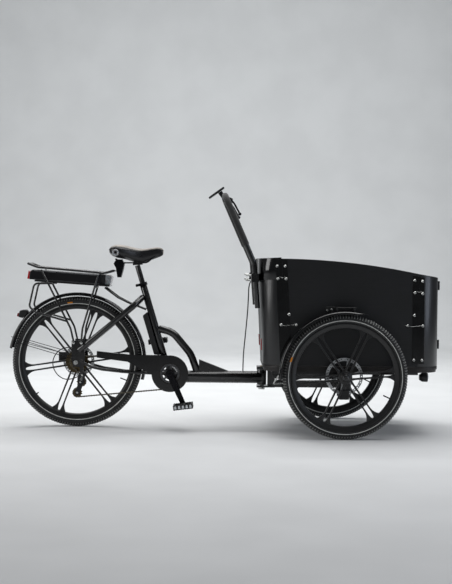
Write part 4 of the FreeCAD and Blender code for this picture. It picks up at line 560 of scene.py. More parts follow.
def joined(shells):
    """Several shells, each given as points and faces, as one."""
    points, faces = [], []
    for some, their in shells:
        faces += [tuple(i + len(points) for i in face) for face in their]
        points += some
    return points, faces


def wire(name, points, radius_mm, finish, body, order=3):
    """A round wire along a smooth line near its points, in metres."""
    line = smooth_line(name, points, min(order, len(points)), 12)
    make_round(line, 2 * radius_mm * MM, finish, 3)
    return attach(line, body)


def solids_of(node):
    """A CAD node's separate solids as lists of points and faces, with their lowest and highest corners."""
    shell = bmesh.new()
    shell.from_mesh(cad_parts[node].data)
    bmesh.ops.remove_doubles(shell, verts=shell.verts, dist=0.001 * MM)
    shell.verts.index_update()
    seen, found = set(), []
    for seed in shell.verts:
        if seed.index in seen:
            continue
        seen.add(seed.index)
        island, todo = [], [seed]
        while todo:
            v = todo.pop()
            island.append(v)
            for e in v.link_edges:
                other = e.other_vert(v)
                if other.index not in seen:
                    seen.add(other.index)
                    todo.append(other)
        order = {v.index: i for i, v in enumerate(island)}
        faces = [tuple(order[v.index] for v in f.verts) for f in {f for v in island for f in v.link_faces}]
        points = [v.co.copy() for v in island]
        low = Vector([min(p[k] for p in points) for k in range(3)])
        high = Vector([max(p[k] for p in points) for k in range(3)])
        found.append((points, sorted(faces), low, high))
    shell.free()
    return found


def copy_solids(node, name, pick, finish, body, slot, edge_mm=0.8, segments=2):
    """A piece made of the solids of a CAD node that pick(low, high) chooses."""
    chosen = [(points, faces) for points, faces, low, high in solids_of(node) if pick(low, high)]
    return soften(make_piece(name, *joined(chosen), finish, body, slot), edge_mm, segments)


def middle(node):
    low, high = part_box(node)
    return (low + high) / 2


def hand(sign):
    """The rider's side that a sign along Y stands for."""
    return "right" if sign < 0 else "left"


print("helpers ready")

# %% [markdown]
# ## Tyres
# A tyre is a round casing with rubber blocks moulded on its crown and shoulders, and this one has a
# thin reflective band on each sidewall. The casing is a spun section. The blocks are small tapered
# bricks set round it in seven rows, each row shifted against the next, which is what makes the
# knobbly outline.

# %% Tyres
# Each row: tilt round the casing in degrees, half length along the tread and width across it, in mm.
BLOCK_ROWS = ((90, 5.2, 8), (70, 4.4, 7), (110, 4.4, 7), (50, 3.9, 7), (130, 3.9, 7), (31, 3.3, 7.5),
              (149, 3.3, 7.5))
BLOCK_HIGH, BLOCK_ROOT, BLOCK_PITCH, BLOCK_TAPER, BLOCK_SKEW = 3.2, 0.6, 14, 0.78, 0.18
BLOCK_SIDES = ((4, 5, 6, 7), (0, 1, 5, 4), (1, 2, 6, 5), (2, 3, 7, 6), (3, 0, 4, 7))
TYRE_STEPS, BAND_HALF = 180, 4.2


def make_tyre(node, body, rim_depth, band_radius):
    """Spin the casing, mark its stripe at a radius in mm, and set the blocks round it."""
    low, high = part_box(node)
    centre, radius, half = (low + high) / 2, (high.z - low.z) / 2 / MM, (high.y - low.y) / 2 / MM
    heart, casing = radius - half, half - BLOCK_HIGH
    edge = math.degrees(math.asin((radius - rim_depth - heart) / casing))
    band = math.degrees(math.asin((band_radius - heart) / casing))
    turns = sorted([edge + (180 - 2 * edge) * i / 24 for i in range(25)]
                   + [side + way for side in (band, 180 - band) for way in (-BAND_HALF, BAND_HALF)])
    section = [(casing * math.cos(math.radians(t)), heart + casing * math.sin(math.radians(t)))
               for t in turns]
    points, faces = spun(section, centre, steps=TYRE_STEPS)
    count, n = round(2 * math.pi * radius / BLOCK_PITCH), len(section)
    middles = [(turns[k] + turns[(k + 1) % n]) / 2 for k in range(n - 1)] + [90]
    in_band = [min(abs(t - band), abs(t - 180 + band)) < BAND_HALF for t in middles]
    marks = [int(in_band[k]) for i in range(TYRE_STEPS) for k in range(n)]
    for row, (tilt, along, across) in enumerate(BLOCK_ROWS):
        out = Vector((0, math.cos(math.radians(tilt)), math.sin(math.radians(tilt))))
        side = Vector((0, -out.z, out.y))
        for i in range(count):
            spin = Matrix.Rotation(2 * math.pi * (i + 0.5 * (row % 2)) / count, 3, "Y")
            first = len(points)
            for rise, shrink in ((-BLOCK_ROOT, 1.0), (BLOCK_HIGH, BLOCK_TAPER)):
                for a, b in ((-1, -1), (1, -1), (1, 1), (-1, 1)):
                    skew = BLOCK_SKEW * a * across * (1 if row % 2 else -1) if row else 0
                    corner = (out * (casing + rise) + side * (b * across / 2 * shrink + skew)
                              + Vector((a * along * shrink, 0, heart)))
                    points.append(centre + MM * (spin @ corner))
            faces += [tuple(first + k for k in quad) for quad in BLOCK_SIDES]
            marks += [2, 0, 0, 0, 0]
    piece = make_piece(node + "_rubber", points, faces, [tyre_rubber, reflective_band, block_rubber],
                       body, "tyre")
    piece.data.polygons.foreach_set("material_index", marks)
    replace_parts(piece, node)


make_tyre("rear_tyre", "rear_wheel", 48, 296)
make_tyre("front_right_tyre", "right_front_wheel", 41, 272)
make_tyre("front_left_tyre", "left_front_wheel", 41, 272)
print("three tyres with", len(BLOCK_ROWS), "rows of blocks each")

# %% [markdown]
# ## Cast wheels and brake discs
# Each wheel is cast in one piece: a hollow rim, a hub, and six pairs of slim bars that flare into the
# rim like the root of a tree, so that the load spreads. A bar is a plate with a curved outline and
# soft edges. The valve and the cycle computer's magnet stand inside the rim. The brake disc is the
# CAD solid, which has its drilled holes already, in ground stainless steel.

# %% Cast wheels
def bar_outline(gap, width, hub, rim):
    """One bar of a pair: straight, a little wider at the hub and flaring to the rim."""
    near, far = gap / 2 - width / 2, gap / 2 + width / 2
    steps = [i / 10 for i in range(11)]
    root, flare = rim - 58, 25
    outer = [(root + (rim - root) * s, far + flare * s ** 2.6) for s in steps]
    inner = [(root + (rim - root) * s, near - (near - 3) * s ** 4) for s in steps]
    return [(hub, near - 2), *inner, *reversed(outer), (hub + 26, far), (hub + 10, far + 2), (hub, far + 6)]


BAR_GAP, BAR_WIDE, BAR_HALF, BAR_START = 26, 7.5, 7, 22


def make_wheel(node, name, body, bead, inner, turn, disc_way, hub):
    """Rim, hub, six pairs of bars, disc, valve and magnet. Radii are in mm and the turn in degrees."""
    centre = middle(node.replace("cast_wheel", "tyre"))
    rim = [(-17, bead), (-17.5, bead - 2), (-15.5, bead - 8), (-9, inner + 1), (0, inner - 1), (9, inner + 1),
           (15.5, bead - 8), (17.5, bead - 2), (17, bead)]
    rim_piece = make_piece(name + "_rim", *spun(rim, centre, steps=144), cast_alloy, body, "cast_alloy")
    make_piece(name + "_hub", *spun([(disc_way * y, r) for y, r in hub], centre, steps=48), cast_alloy, body,
               "cast_alloy", edge_mm=1.5)
    shape = bar_outline(BAR_GAP, BAR_WIDE, BAR_START, inner + 2)
    bars = [plate([(x, side * z) for x, z in shape], centre, -BAR_HALF, BAR_HALF, -turn + 60 * pair)
            for pair in range(6) for side in (1, -1)]
    make_piece(name + "_bars", *joined(bars), cast_alloy, body, "cast_alloy", edge_mm=2.2)
    copy_solids(node, name + "_brake_disc", lambda low, high: high.y - low.y < 4 * MM, stainless, body,
                "steel", 0)
    for kind, angle, length in (("valve", 30, 34), ("magnet", 150, 12)):
        way = Matrix.Rotation(math.radians(-turn + angle), 3, "Y") @ Vector((1, 0, 0))
        wire(f"{name}_{kind}", [centre + way * MM * (inner - length), centre + way * MM * (inner + 4)], 3.2,
             black_steel, body, 2)
    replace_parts(rim_piece, node)


# Hub sections as (towards the disc, radius) in mm.
REAR_HUB = [(-60, 5.3), (-60, 15), (-26, 16), (-20, 22), (-18, 32), (-10, 34), (10, 34), (14, 32), (18, 20),
            (24, 17), (60, 17), (60, 5.3)]
FRONT_HUB = [(-30, 8.3), (-30, 17), (-27, 20), (-18, 22), (-14, 32), (-8, 34), (8, 34), (14, 32), (17, 20),
             (22, 17), (48, 17), (48, 8.3)]
make_wheel("rear_cast_wheel", "rear_wheel", "rear_wheel", 284, 268, 9, 1, REAR_HUB)
make_wheel("front_right_cast_wheel", "right_wheel", "right_front_wheel", 258, 236, 5, 1, FRONT_HUB)
make_wheel("front_left_cast_wheel", "left_wheel", "left_front_wheel", 258, 236, 5, -1, FRONT_HUB)
print("three cast wheels with discs")

# %% [markdown]
# ## Mudguards
# A plastic mudguard is an extruded half-round strip that is bent round the wheel. Its crown is nearly
# flat, its sides roll down, and each edge ends in a small bead. The front end of each front guard is
# pressed into a flat, pointed lip. The section is laid out once, and then lofted along the arc, with a
# factor that narrows and flattens it towards the tip.

# %% Mudguard strips
BEAD_STEPS = 6


def guard_section(half, deep, wall=2.0):
    """A thin half-round section as (across, below the crown) in mm, with a bead on each edge."""
    outer, inner = [], []
    for i in range(33):
        t = math.pi * i / 32
        across, drop = abs(math.cos(t)) ** 0.75, 1 - abs(math.sin(t)) ** 0.8
        side = 1 if math.cos(t) > 0 else -1
        outer.append((side * across * half, drop * deep))
        inner.append((side * across * (half - wall), wall + drop * (deep - wall)))
    right = [(half - 1 + 1.7 * math.cos(a), deep + 0.6 + 1.7 * math.sin(a))
             for a in [math.radians(200 - 220 * k / BEAD_STEPS) for k in range(BEAD_STEPS + 1)]]
    left = [(-x, z) for x, z in reversed(right)]
    return right + outer[1:-1] + left + list(reversed(inner[1:-1]))


def make_guard(name, centre, radius, half, deep, start, end, body, tip_degrees=0.0):
    """Loft the section from a start angle to an end angle; 0 points forward and 90 up."""
    section, crown = guard_section(half, deep), 2.1
    n, steps, points, faces = len(section), round(end - start), [], []
    for i in range(steps + 1):
        angle = start + (end - start) * i / steps
        tip = max(0.0, 1 - (angle - start) / tip_degrees) if tip_degrees else 0.0
        narrow, shallow = 1 - 0.82 * tip ** 1.5, 1 - 0.9 * min(1, 2 * tip)
        way = Vector((math.cos(math.radians(angle)), 0, math.sin(math.radians(angle))))
        lift = radius + 2 * tip
        for across, below in section:
            out = lift - below * (shallow if below > crown else 1)
            points.append(centre + MM * (way * out + Vector((0, across * narrow, 0))))
        if i:
            at_row, before = i * n, (i - 1) * n
            faces += [(before + k, before + (k + 1) % n, at_row + (k + 1) % n, at_row + k) for k in range(n)]
    faces += [tuple(range(n)), tuple(range(steps * n, steps * n + n))]
    return make_piece(name, points, faces, gloss_abs, body, "gloss_plastic")


rear_axle_at = middle("rear_tyre")
right_axle_at, left_axle_at = middle("front_right_tyre"), middle("front_left_tyre")
rear_guard = make_guard("rear_guard_strip", rear_axle_at, 353, 32.3, 14.5, -15, 169, "rear_frame")
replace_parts(rear_guard, "rear_mudguard")
copy_solids("rear_mudguard", "rear_guard_stays", lambda low, high: (low.y > 0) == (high.y > 0), black_steel,
            "rear_frame", "dark_steel", 0)
for side, axle_at in (("right", right_axle_at), ("left", left_axle_at)):
    strip = make_guard(side + "_front_guard_strip", axle_at, 318, 29.3, 14.5, 68, 182, "front_carrier", 12)
    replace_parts(strip, "front_mudguards")
print("guard section has", len(guard_section(30, 14)), "points")

# %% Mudguard brackets and stays
copy_solids("front_mudguards", "front_guard_brackets", lambda low, high: high.z - low.z < 25 * MM,
            powder_coat, "front_carrier", "frame_paint", 1.2)
copy_solids("front_mudguards", "front_guard_stays", lambda low, high: low.z < 0.24, zinc_plate,
            "front_carrier", "steel", 0.5)
BOX_SIDE = 321.1
for sign, axle_at in ((-1, right_axle_at), (1, left_axle_at)):
    head = [(0, 0), (0, 4.6), (sign * 3.2, 4.6), (sign * 4.2, 3.2), (sign * 4.2, 0)]
    for number, (x, z) in enumerate(((-84, 317), (-62, 322))):
        spot = Vector((axle_at.x, 0, axle_at.z)) + MM * Vector((x, sign * BOX_SIDE, z))
        make_piece(f"{hand(sign)}_guard_bolt_{number}", *spun(head, spot, steps=24), zinc_plate,
                   "front_carrier", "steel")
print("mudguards held")

# %% [markdown]
# ## Saddle
# The saddle is a foam pad on a moulded base, covered in two vinyls that are stitched together: a grey
# pebbled top, and a smooth black flank. The top's light taupe grey is partly the vinyl's own tone and
# partly a painted highlight, standing for the overhead light that falls on it. It is wide and high at
# the back, dips, and rises again to a rounded nose. Each cross-section is a rounded box, so a loft through
# a dozen of them gives the shape, and a subdivision smooths it. A shallow channel runs down the middle.
# The seam follows the edge between the two vinyls, with a cord of piping and a row of stitches beside it.

# %% Saddle vinyls
flank_vinyl, at = start_material("smooth_black_vinyl")
crease = grain(flank_vinyl, at, 9, 4, (0.4, 1, 1))
finish_named("smooth_black_vinyl", {
    "Base Color": blend_colours(flank_vinyl, crease, "#0b0b0d", "#151517"), "IOR": 1.5,
    "Roughness": between(flank_vinyl, crease, 0.26, 0.4), "Normal": relief(flank_vinyl, crease, 0.15)})
saddle_thread, at = start_material("bonded_polyester_thread")
ply = add(saddle_thread, "ShaderNodeTexWave", {"Vector": at, "Scale": per_metre(0.8) / 20 * math.pi},
          bands_direction="DIAGONAL").outputs["Fac"]
finish_named("bonded_polyester_thread", {
    "Base Color": blend_colours(saddle_thread, ply, "#4c4a48", "#6b6865"), "Roughness": 0.6,
    "Sheen Weight": 0.2, "Normal": relief(saddle_thread, ply, 0.1)})
print("saddle finishes ready")

# %% Saddle pad
# Each row: distance ahead of the clamp, half width, top and bottom above the clamp, all in mm.
SADDLE_ROWS = ((-140, 62, 82, 62), (-132, 79, 94, 50), (-117, 93, 103, 41), (-94, 96, 106, 36),
               (-62, 84, 102, 31), (-28, 64, 94, 20), (4, 45, 87, 9), (34, 34, 86, 10),
               (64, 29, 90, 24), (96, 26, 95, 37), (119, 22, 93, 45), (132, 14, 83, 54))
AROUND = 32
saddle_low, saddle_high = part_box("saddle")
seat_at = Vector((saddle_low.x + 142 * MM, 0, saddle_low.z - 22 * MM))


def saddle_point(x, half, top, bottom, turn):
    """A point on the saddle's skin. A turn of 0 is its left edge and a quarter turn its top."""
    c, s = math.cos(turn), math.sin(turn)
    across = half * math.copysign(abs(c) ** 0.62, c)
    if s < 0:
        across *= 1 - 0.34 * abs(s) ** 2
    middle_z = bottom + (top - bottom) * 0.5
    z = middle_z + (top - middle_z) * math.copysign(abs(s) ** 0.72, s)
    if s > 0 and -70 < x < 96:
        z -= 3.6 * math.exp(-(across / 7.5) ** 2) * math.sin(math.pi * (x + 70) / 166)
    return seat_at + MM * Vector((x, across, z))


points = [saddle_point(*row, 2 * math.pi * i / AROUND) for row in SADDLE_ROWS for i in range(AROUND)]
last = (len(SADDLE_ROWS) - 1) * AROUND
faces = [(r + i, r + (i + 1) % AROUND, r + AROUND + (i + 1) % AROUND, r + AROUND + i)
         for r in range(0, last, AROUND) for i in range(AROUND)]
for first, row in ((0, SADDLE_ROWS[0]), (last, SADDLE_ROWS[-1])):
    hub = len(points)
    points.append(seat_at + MM * Vector((row[0] * 1.012, 0, (row[2] + row[3]) / 2)))
    faces += [(first + i, first + (i + 1) % AROUND, hub) for i in range(AROUND)]
saddle_pad = make_piece("saddle_pad", points, faces, [vinyl, flank_vinyl], "saddle_assembly", "saddle_cover")
# Faces above the seams take the light top vinyl, whose colour partly holds a painted highlight; faces below
# take the black flank.
SEAM_TURN = 3
for face in saddle_pad.data.polygons:
    under = not SEAM_TURN <= face.index % AROUND < AROUND // 2 - SEAM_TURN
    face.material_index = int(under and face.index < last)
saddle_pad.modifiers.new("smooth", "SUBSURF").levels = 2
saddle_pad.modifiers["smooth"].render_levels = 2
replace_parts(saddle_pad, "saddle")
print("saddle pad of", len(SADDLE_ROWS), "sections")

# %% Saddle seam and cups
BRICK = ((0, 1, 2, 3), (4, 7, 6, 5), (0, 4, 5, 1), (1, 5, 6, 2), (2, 6, 7, 3), (3, 7, 4, 0))
for side, turn_index in (("left", SEAM_TURN), ("right", AROUND // 2 - SEAM_TURN)):
    seam = [saddle_point(*row, 2 * math.pi * turn_index / AROUND) for row in SADDLE_ROWS]
    wire(f"{side}_saddle_piping", seam, 1.1, flank_vinyl, "saddle_assembly", 4)
    dense = []
    for a, b in zip(seam, seam[1:]):
        dense += [a.lerp(b, k / 6) for k in range(6)]
    points, faces = [], []
    for k in range(2, len(dense) - 2):
        along = (dense[k + 1] - dense[k]).normalized()
        spot = dense[k] + Vector((0, math.copysign(-1.5, dense[k].y), 3.4)) * MM
        across = Vector((0, 1, 0)).cross(along)
        first = len(points)
        points += [spot + MM * (along * a * 1.9 + Vector((0, b * 0.5, 0)) + across * c * 0.5)
                   for a in (-1, 1) for b, c in ((-1, -1), (1, -1), (1, 1), (-1, 1))]
        faces += [tuple(first + i for i in quad) for quad in BRICK]
    make_piece(f"{side}_saddle_stitches", points, faces, saddle_thread, "saddle_assembly", "saddle_cover")
    sign = 1 if side == "left" else -1
    cup_at = seat_at + MM * Vector((-104, sign * 90, 64))
    cup = [(sign * y, r) for y, r in ((-4, 0), (-4, 17), (2, 17), (5.5, 15), (6.5, 12.5), (5, 9.5),
                                      (1, 7), (1, 0))]
    make_piece(f"{side}_saddle_cup", *spun(cup, cup_at, steps=40), milky, "saddle_assembly", "saddle_cover")
    button = [(sign * y, r) for y, r in ((0, 0), (0, 5), (2.4, 5), (3.4, 3.4), (3.4, 0))]
    make_piece(f"{side}_saddle_rivet", *spun(button, cup_at, steps=24), black_steel, "saddle_assembly",
               "dark_steel")
print("saddle seams stitched")

# %% [markdown]
# ## Battery
# The battery's case is an aluminium extrusion with rounded long edges, anodised black, so that a
# clear line of light runs along each edge. A black end plate and a cap of milky grey polycarbonate
# close the front, and a red reflector closes the back. Small screws hold the plates, and a lock sits
# under the cap.

# %% Battery
DRAWN = (0.02, 1, 1)
anodised = surface("black_anodised_aluminium", "#131315", "#1b1b1e", 0.3, 0.4, (1.2, 2, DRAWN), None, 0.02,
                   {"Metallic": 0.35})
# Light grey strips for the case's upper and lower edges: the lower one stands for the grey slide rail, and the
# light grey of both is also a painted highlight of the overhead light on the case's rounded edges.
rail_and_highlight_finish = surface("grey_rail_and_painted_highlight_aluminium", "#5b5c5d", "#77787a", 0.32, 0.45, (0.9, 2, DRAWN), None, 0.02,
                      {"Metallic": 1.0})

battery_low, battery_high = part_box("battery")
BATTERY_SLOPE = 3.6
battery_at = Vector((battery_low.x - 0.1 * MM, 0, battery_high.z - 48.3 * MM))
case = copy_solids("battery", "battery_case", lambda low, high: high.x - low.x > 0.2, anodised, "battery",
                   "alloy", 6.5, 5)
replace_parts(case, "battery")
copy_solids("battery", "battery_reflector", lambda low, high: high.x - low.x < 20 * MM, red_acrylic,
            "battery", "lamp_lens", 1.5, 3)
for name, shape, half, finish, edge in (
        ("battery_end_plate", [(371, -0.5), (395, -0.5), (395, 50), (371, 50)], 53.5, nylon, 3),
        ("battery_cap", [(394, 0), (421, 0), (428.5, 41), (415, 49.5), (394, 49.5)], 52.5, milky, 5),
        ("battery_rear_plate", [(11, 1), (27, 1), (27, 49), (24, 49), (11, 37)], 53.5, nylon, 2)):
    make_piece(name, *plate(shape, battery_at, -half, half, BATTERY_SLOPE), finish, "battery",
               "black_plastic", edge_mm=edge, segments=4)
screw_head = [(0, 0), (0, 2.6), (-1.2, 2.6), (-1.6, 1.8), (-1.6, 0)]
slope = Matrix.Rotation(math.radians(BATTERY_SLOPE), 3, "Y")
for sign in (-1, 1):
    screws = []
    for x, z in ((148, 45), (236, 45), (108, 5), (268, 5), (380, 10), (380, 40)):
        spot = battery_at + MM * (slope @ Vector((x, 0, z))) + Vector((0, sign * 56.2 * MM, 0))
        screws.append(spun([(-sign * a, r) for a, r in screw_head], spot, steps=16))
    make_piece("battery_screws_" + hand(sign), *joined(screws), black_steel, "battery", "dark_steel")
# The upper and lower strips along the case: their light grey is partly a painted highlight of its edges, and
# the lower one is also the slide rail.
for name, shape in (("upper", [(30, 42), (364, 42), (364, 49), (30, 49)]),
                    ("lower", [(40, -4), (368, -4), (368, 5), (40, 5)])):
    for sign in (-1, 1):
        low_y, high_y = sorted((sign * 50, sign * 56.6))
        make_piece(f"battery_{name}_trim_{hand(sign)}",
                   *plate(shape, battery_at, low_y, high_y, BATTERY_SLOPE), rail_and_highlight_finish, "battery", "alloy",
                   edge_mm=2.5, segments=3)
lock = [(0, 0), (0, 8), (-9, 8), (-10, 7), (-10, 0)]
lock_at = battery_at + MM * (slope @ Vector((352, 0, -13))) + Vector((0, -40 * MM, 0))
make_piece("battery_lock", *spun(lock, lock_at, steps=32), zinc_plate, "rear_frame", "steel")
print("battery case", round(battery_high.x - battery_low.x, 3), "m long")

# %% [markdown]
# ## Lamps, reflectors and display
# The rear lamp is a black wedge on the mudguard with a red lens at its back. The front lamp is a
# black bowl with a clear prismed lens. The display is a thin case with a dark glass, tilted towards
# the rider.

# %% Lamps and display
dark_red_acrylic = prism_reflector("dark_red_lamp_acrylic", "#3d0507", "#8e1214")


def cover_faces(piece, finish, pick):
    """Give the faces that pick(centre) chooses another finish."""
    piece.data.materials.append(finish)
    for face in piece.data.polygons:
        if pick(face.center):
            face.material_index = len(piece.data.materials) - 1


lamp_house = make_piece("rear_lamp_house", *plate(
    [(-303, 225), (-280, 219), (-262, 234), (-252, 250), (-256, 259), (-264, 262), (-280, 261), (-295, 257)],
    rear_axle_at, -21.5, 21.5), nylon, "rear_frame", "black_plastic", edge_mm=5, segments=4)
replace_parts(lamp_house, "rear_lamp")
make_piece("rear_lamp_lens", *plate([(-309.5, 228), (-302, 226), (-297, 243), (-300, 246), (-307, 243)],
                                    rear_axle_at, -17, 17), dark_red_acrylic, "rear_frame", "lamp_lens",
           edge_mm=3, segments=3)
LENS_DEEP = 6.7 * MM
lamp_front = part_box("front_lamp")[1].x
bowl = copy_solids("front_lamp", "front_lamp_bowl", lambda low, high: True, nylon, "front_carrier",
                   "black_plastic", 0)
cover_faces(bowl, clear_acrylic, lambda centre: centre.x > lamp_front - LENS_DEEP)
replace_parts(bowl, "front_lamp")

glass, at = start_material("dark_display_glass")
ghost = grain(glass, at, 30, 1)
finish_named("dark_display_glass", {"Base Color": blend_colours(glass, ghost, "#05070a", "#0a0e12"),
                                    "IOR": 1.5, "Roughness": 0.06, "Coat Weight": 1.0, "Coat Roughness": 0.03})
DISPLAY_TILT = -36
display_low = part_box("display")[0]
display_at = Vector((display_low.x + 44.1 * MM, 0, display_low.z + 28.2 * MM))
case = make_piece("display_case", *plate([(-47, 0), (47.5, 0), (47.5, 8.5), (-47, 8.5)],
                                         display_at, -30.5, 30.5, DISPLAY_TILT),
                  nylon, "handlebar", "black_plastic", edge_mm=3, segments=4)
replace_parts(case, "display")
make_piece("display_glass", *plate([(-40, 8), (34, 8), (34, 9.6), (-40, 9.6)],
                                   display_at, -25, 25, DISPLAY_TILT), glass,
           "handlebar", "lamp_lens", edge_mm=0.7)
button = [(37, 8), (44, 8), (44, 9.6), (37, 9.6)]
buttons = [plate(button, display_at, y - 5, y + 5, DISPLAY_TILT) for y in (-14, 0, 14)]
make_piece("display_buttons", *joined(buttons), foam, "handlebar", "grip_rubber", edge_mm=0.8)
print("lamps and display made")

# %% [markdown]
# ## Cranks and pedals
# The right crank carries the chainring on a ring with five arms of dull grey zinc, which shows through
# the round opening of the chain guard. The pedals are nylon cages with an amber reflector at each
# end and a row of studs.

# %% Cranks and pedals
bracket_at = middle("chainring")
CRANK_RING_FACE = -53.5 * MM
crank = copy_solids("crank_arm_right", "right_crank", lambda low, high: True, black_steel, "crank",
                    "dark_steel", 1.6)
cover_faces(crank, dark_zinc, lambda centre: centre.y > CRANK_RING_FACE)
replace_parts(crank, "crank_arm_right")
cap = [(-86.2, 0), (-86.2, 9), (-88, 8.5), (-89, 6), (-89, 0)]
make_piece("crank_bolt_cap", *spun(cap, Vector((bracket_at.x, 0, bracket_at.z)), steps=32), black_steel,
           "crank", "dark_steel")
PEDAL_TILT = -7
for side, body in (("right", "right_pedal"), ("left", "left_pedal")):
    dress("pedal_" + side, nylon, 2)
    low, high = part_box("pedal_" + side)
    pedal_at, half_y = (low + high) / 2, (high.y - low.y) / 2 / MM
    tilt = Matrix.Rotation(math.radians(PEDAL_TILT), 3, "Y")
    studs = [spun([(0, 0), (0, 1.9), (1.6 * top, 1.5), (1.6 * top, 0)],
                  pedal_at + MM * (tilt @ Vector((x, y, 12 * top))), steps=8, axis="Z")
             for top in (1, -1) for x in range(-44, 45, 11) for y in (-half_y + 6, half_y - 6)]
    make_piece(side + "_pedal_studs", *joined(studs), black_steel, body, "dark_steel")
    reflectors = [plate([(x - sign * 1, -6), (x + sign * 0.4, -6), (x + sign * 0.4, 6), (x - sign * 1, 6)],
                        pedal_at, -34, 34, PEDAL_TILT) for x, sign in ((-48.6, -1), (48.6, 1))]
    make_piece(side + "_pedal_reflectors", *joined(reflectors), amber_acrylic, body, "lamp_lens")
    end_y = half_y if side == "left" else -half_y
    low_y, high_y = sorted((end_y, end_y * 1.006))
    windows = [plate([(x - 6, -7), (x + 6, -7), (x + 4, 8), (x - 4, 8)], pedal_at, low_y, high_y, PEDAL_TILT)
               for x in (-38, -19, 0, 19, 38)]
    make_piece(side + "_pedal_windows", *joined(windows), clear_acrylic, body, "lamp_lens")
print("cranks and pedals made")

# %% [markdown]
# ## Chain
# A chain is a row of rollers 12.7 mm apart, joined in turn by inner and outer plates with a waist.
# The line of the chain wraps the chainring, the rear sprocket and the two pulleys of the derailleur.
# That line is walked in equal steps, and a link is set on each step.

# %% Chain
PITCH = 12.7


def chain_line(wheels):
    """Close points round wheels given as (x, z, radius, way round), in mm."""
    joins, count = [], len(wheels)
    for k in range(count):
        x1, z1, r1, way1 = wheels[k]
        x2, z2, r2, way2 = wheels[(k + 1) % count]
        r1, r2 = r1 * way1, r2 * way2
        lean = math.asin((r1 - r2) / math.hypot(x2 - x1, z2 - z1))
        normal = math.atan2(z2 - z1, x2 - x1) - math.pi / 2 + lean
        side = Vector((math.cos(normal), math.sin(normal)))
        joins.append((Vector((x1, z1)) + r1 * side, Vector((x2, z2)) + r2 * side))
    points = []
    for k in range(count):
        x, z, radius, way = wheels[k]
        arrive, leave = joins[k - 1][1] - Vector((x, z)), joins[k][0] - Vector((x, z))
        first, last = math.atan2(arrive.y, arrive.x), math.atan2(leave.y, leave.x)
        turn = (last - first) % (2 * math.pi) if way > 0 else -((first - last) % (2 * math.pi))
        steps = max(2, round(abs(turn) * radius))
        for angle in (first + turn * i / steps for i in range(steps + 1)):
            points.append(Vector((x + radius * math.cos(angle), z + radius * math.sin(angle))))
        points += [joins[k][0].lerp(joins[k][1], i / 200) for i in range(1, 200)]
    return points


def even_steps(points, step):
    """Points at equal distances along a closed line, as near to the step as divides it evenly by two."""
    points = points + points[:1]
    runs = [(b - a).length for a, b in zip(points, points[1:])]
    count = 2 * round(sum(runs) / step / 2)
    exact, spots, k, before = sum(runs) / count, [], 0, 0.0
    for i in range(count):
        while before + runs[k] < i * exact:
            before += runs[k]
            k += 1
        spots.append(points[k].lerp(points[k + 1], (i * exact - before) / max(runs[k], 1e-9)))
    return spots


def pitch_circle(teeth):
    return PITCH / (2 * math.sin(math.pi / teeth))


pulleys = [middle("guide_pulley"), middle("tension_pulley")]
wheels = [(bracket_at.x / MM, bracket_at.z / MM, pitch_circle(38), 1),
          (rear_axle_at.x / MM, rear_axle_at.z / MM, pitch_circle(16), 1),
          (pulleys[0].x / MM, pulleys[0].z / MM, pitch_circle(11), -1),
          (pulleys[1].x / MM, pulleys[1].z / MM, pitch_circle(11), 1)]
spots = even_steps(chain_line(wheels), PITCH)
WAIST = [(-3.9, 0), (-2.8, 2.9), (0, 3.9), (2.6, 3.1), (6.35, 2.4), (10.1, 3.1), (12.7, 3.9), (15.5, 2.9),
         (16.6, 0)]
link_shape = WAIST + [(x, -z) for x, z in reversed(WAIST[1:-1])]
chain_y = bracket_at.y / MM
roller = [(chain_y + y, r) for y, r in ((-4.9, 0), (-4.9, 1.8), (-2.4, 1.8), (-2.4, 3.9),
                                        (2.4, 3.9), (2.4, 1.8), (4.9, 1.8), (4.9, 0))]
links = []
for k, spot in enumerate(spots):
    along = (spots[(k + 1) % len(spots)] - spot).normalized()
    slant = -math.degrees(math.atan2(along.y, along.x))
    here = MM * Vector((spot.x, 0, spot.y))
    outer = 1.0 if k % 2 else 0.0
    for low in (chain_y - 3.4 - outer, chain_y + 2.4 + outer):
        links.append(plate(link_shape, here, low, low + 1.0, slant))
    links.append(spun(roller, here, steps=10))
chain_links = make_piece("chain_links", *joined(links), oiled_steel, "rear_frame", "steel")
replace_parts(chain_links, "chain")
print(len(spots), "chain links")

# %% [markdown]
# ## Small hardware
# The corner straps are plates with a pressed seam between their bolts, and the steering pivot has a
# brass-coloured nut. Front hubs have caps, tyres have amber marks, and the rack's legs have bolts.

# %% Small hardware
brass = steel("yellow_zinc_plate", "#8a7238", "#c2a45c", 0.28, 0.42, 5)
pivot_at, pivot_top = middle("kingpin"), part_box("kingpin")[1].z / MM
nut = [(pivot_top + z, r) for z, r in ((-12, 12), (-1, 12), (1, 10), (1, 0), (-12, 0))]
make_piece("pivot_cap", *spun(nut, Vector((pivot_at.x, pivot_at.y, 0)), steps=6, axis="Z"), brass,
           "front_carrier", "steel", edge_mm=0.8, smooth=False)
web_at = Vector((pivot_at.x, 0, pivot_at.z))
make_piece("yoke_web", *plate([(29, -46), (56, -46), (56, 40), (29, 40)], web_at, -14, 14), powder_coat,
           "front_carrier", "frame_paint", edge_mm=2)

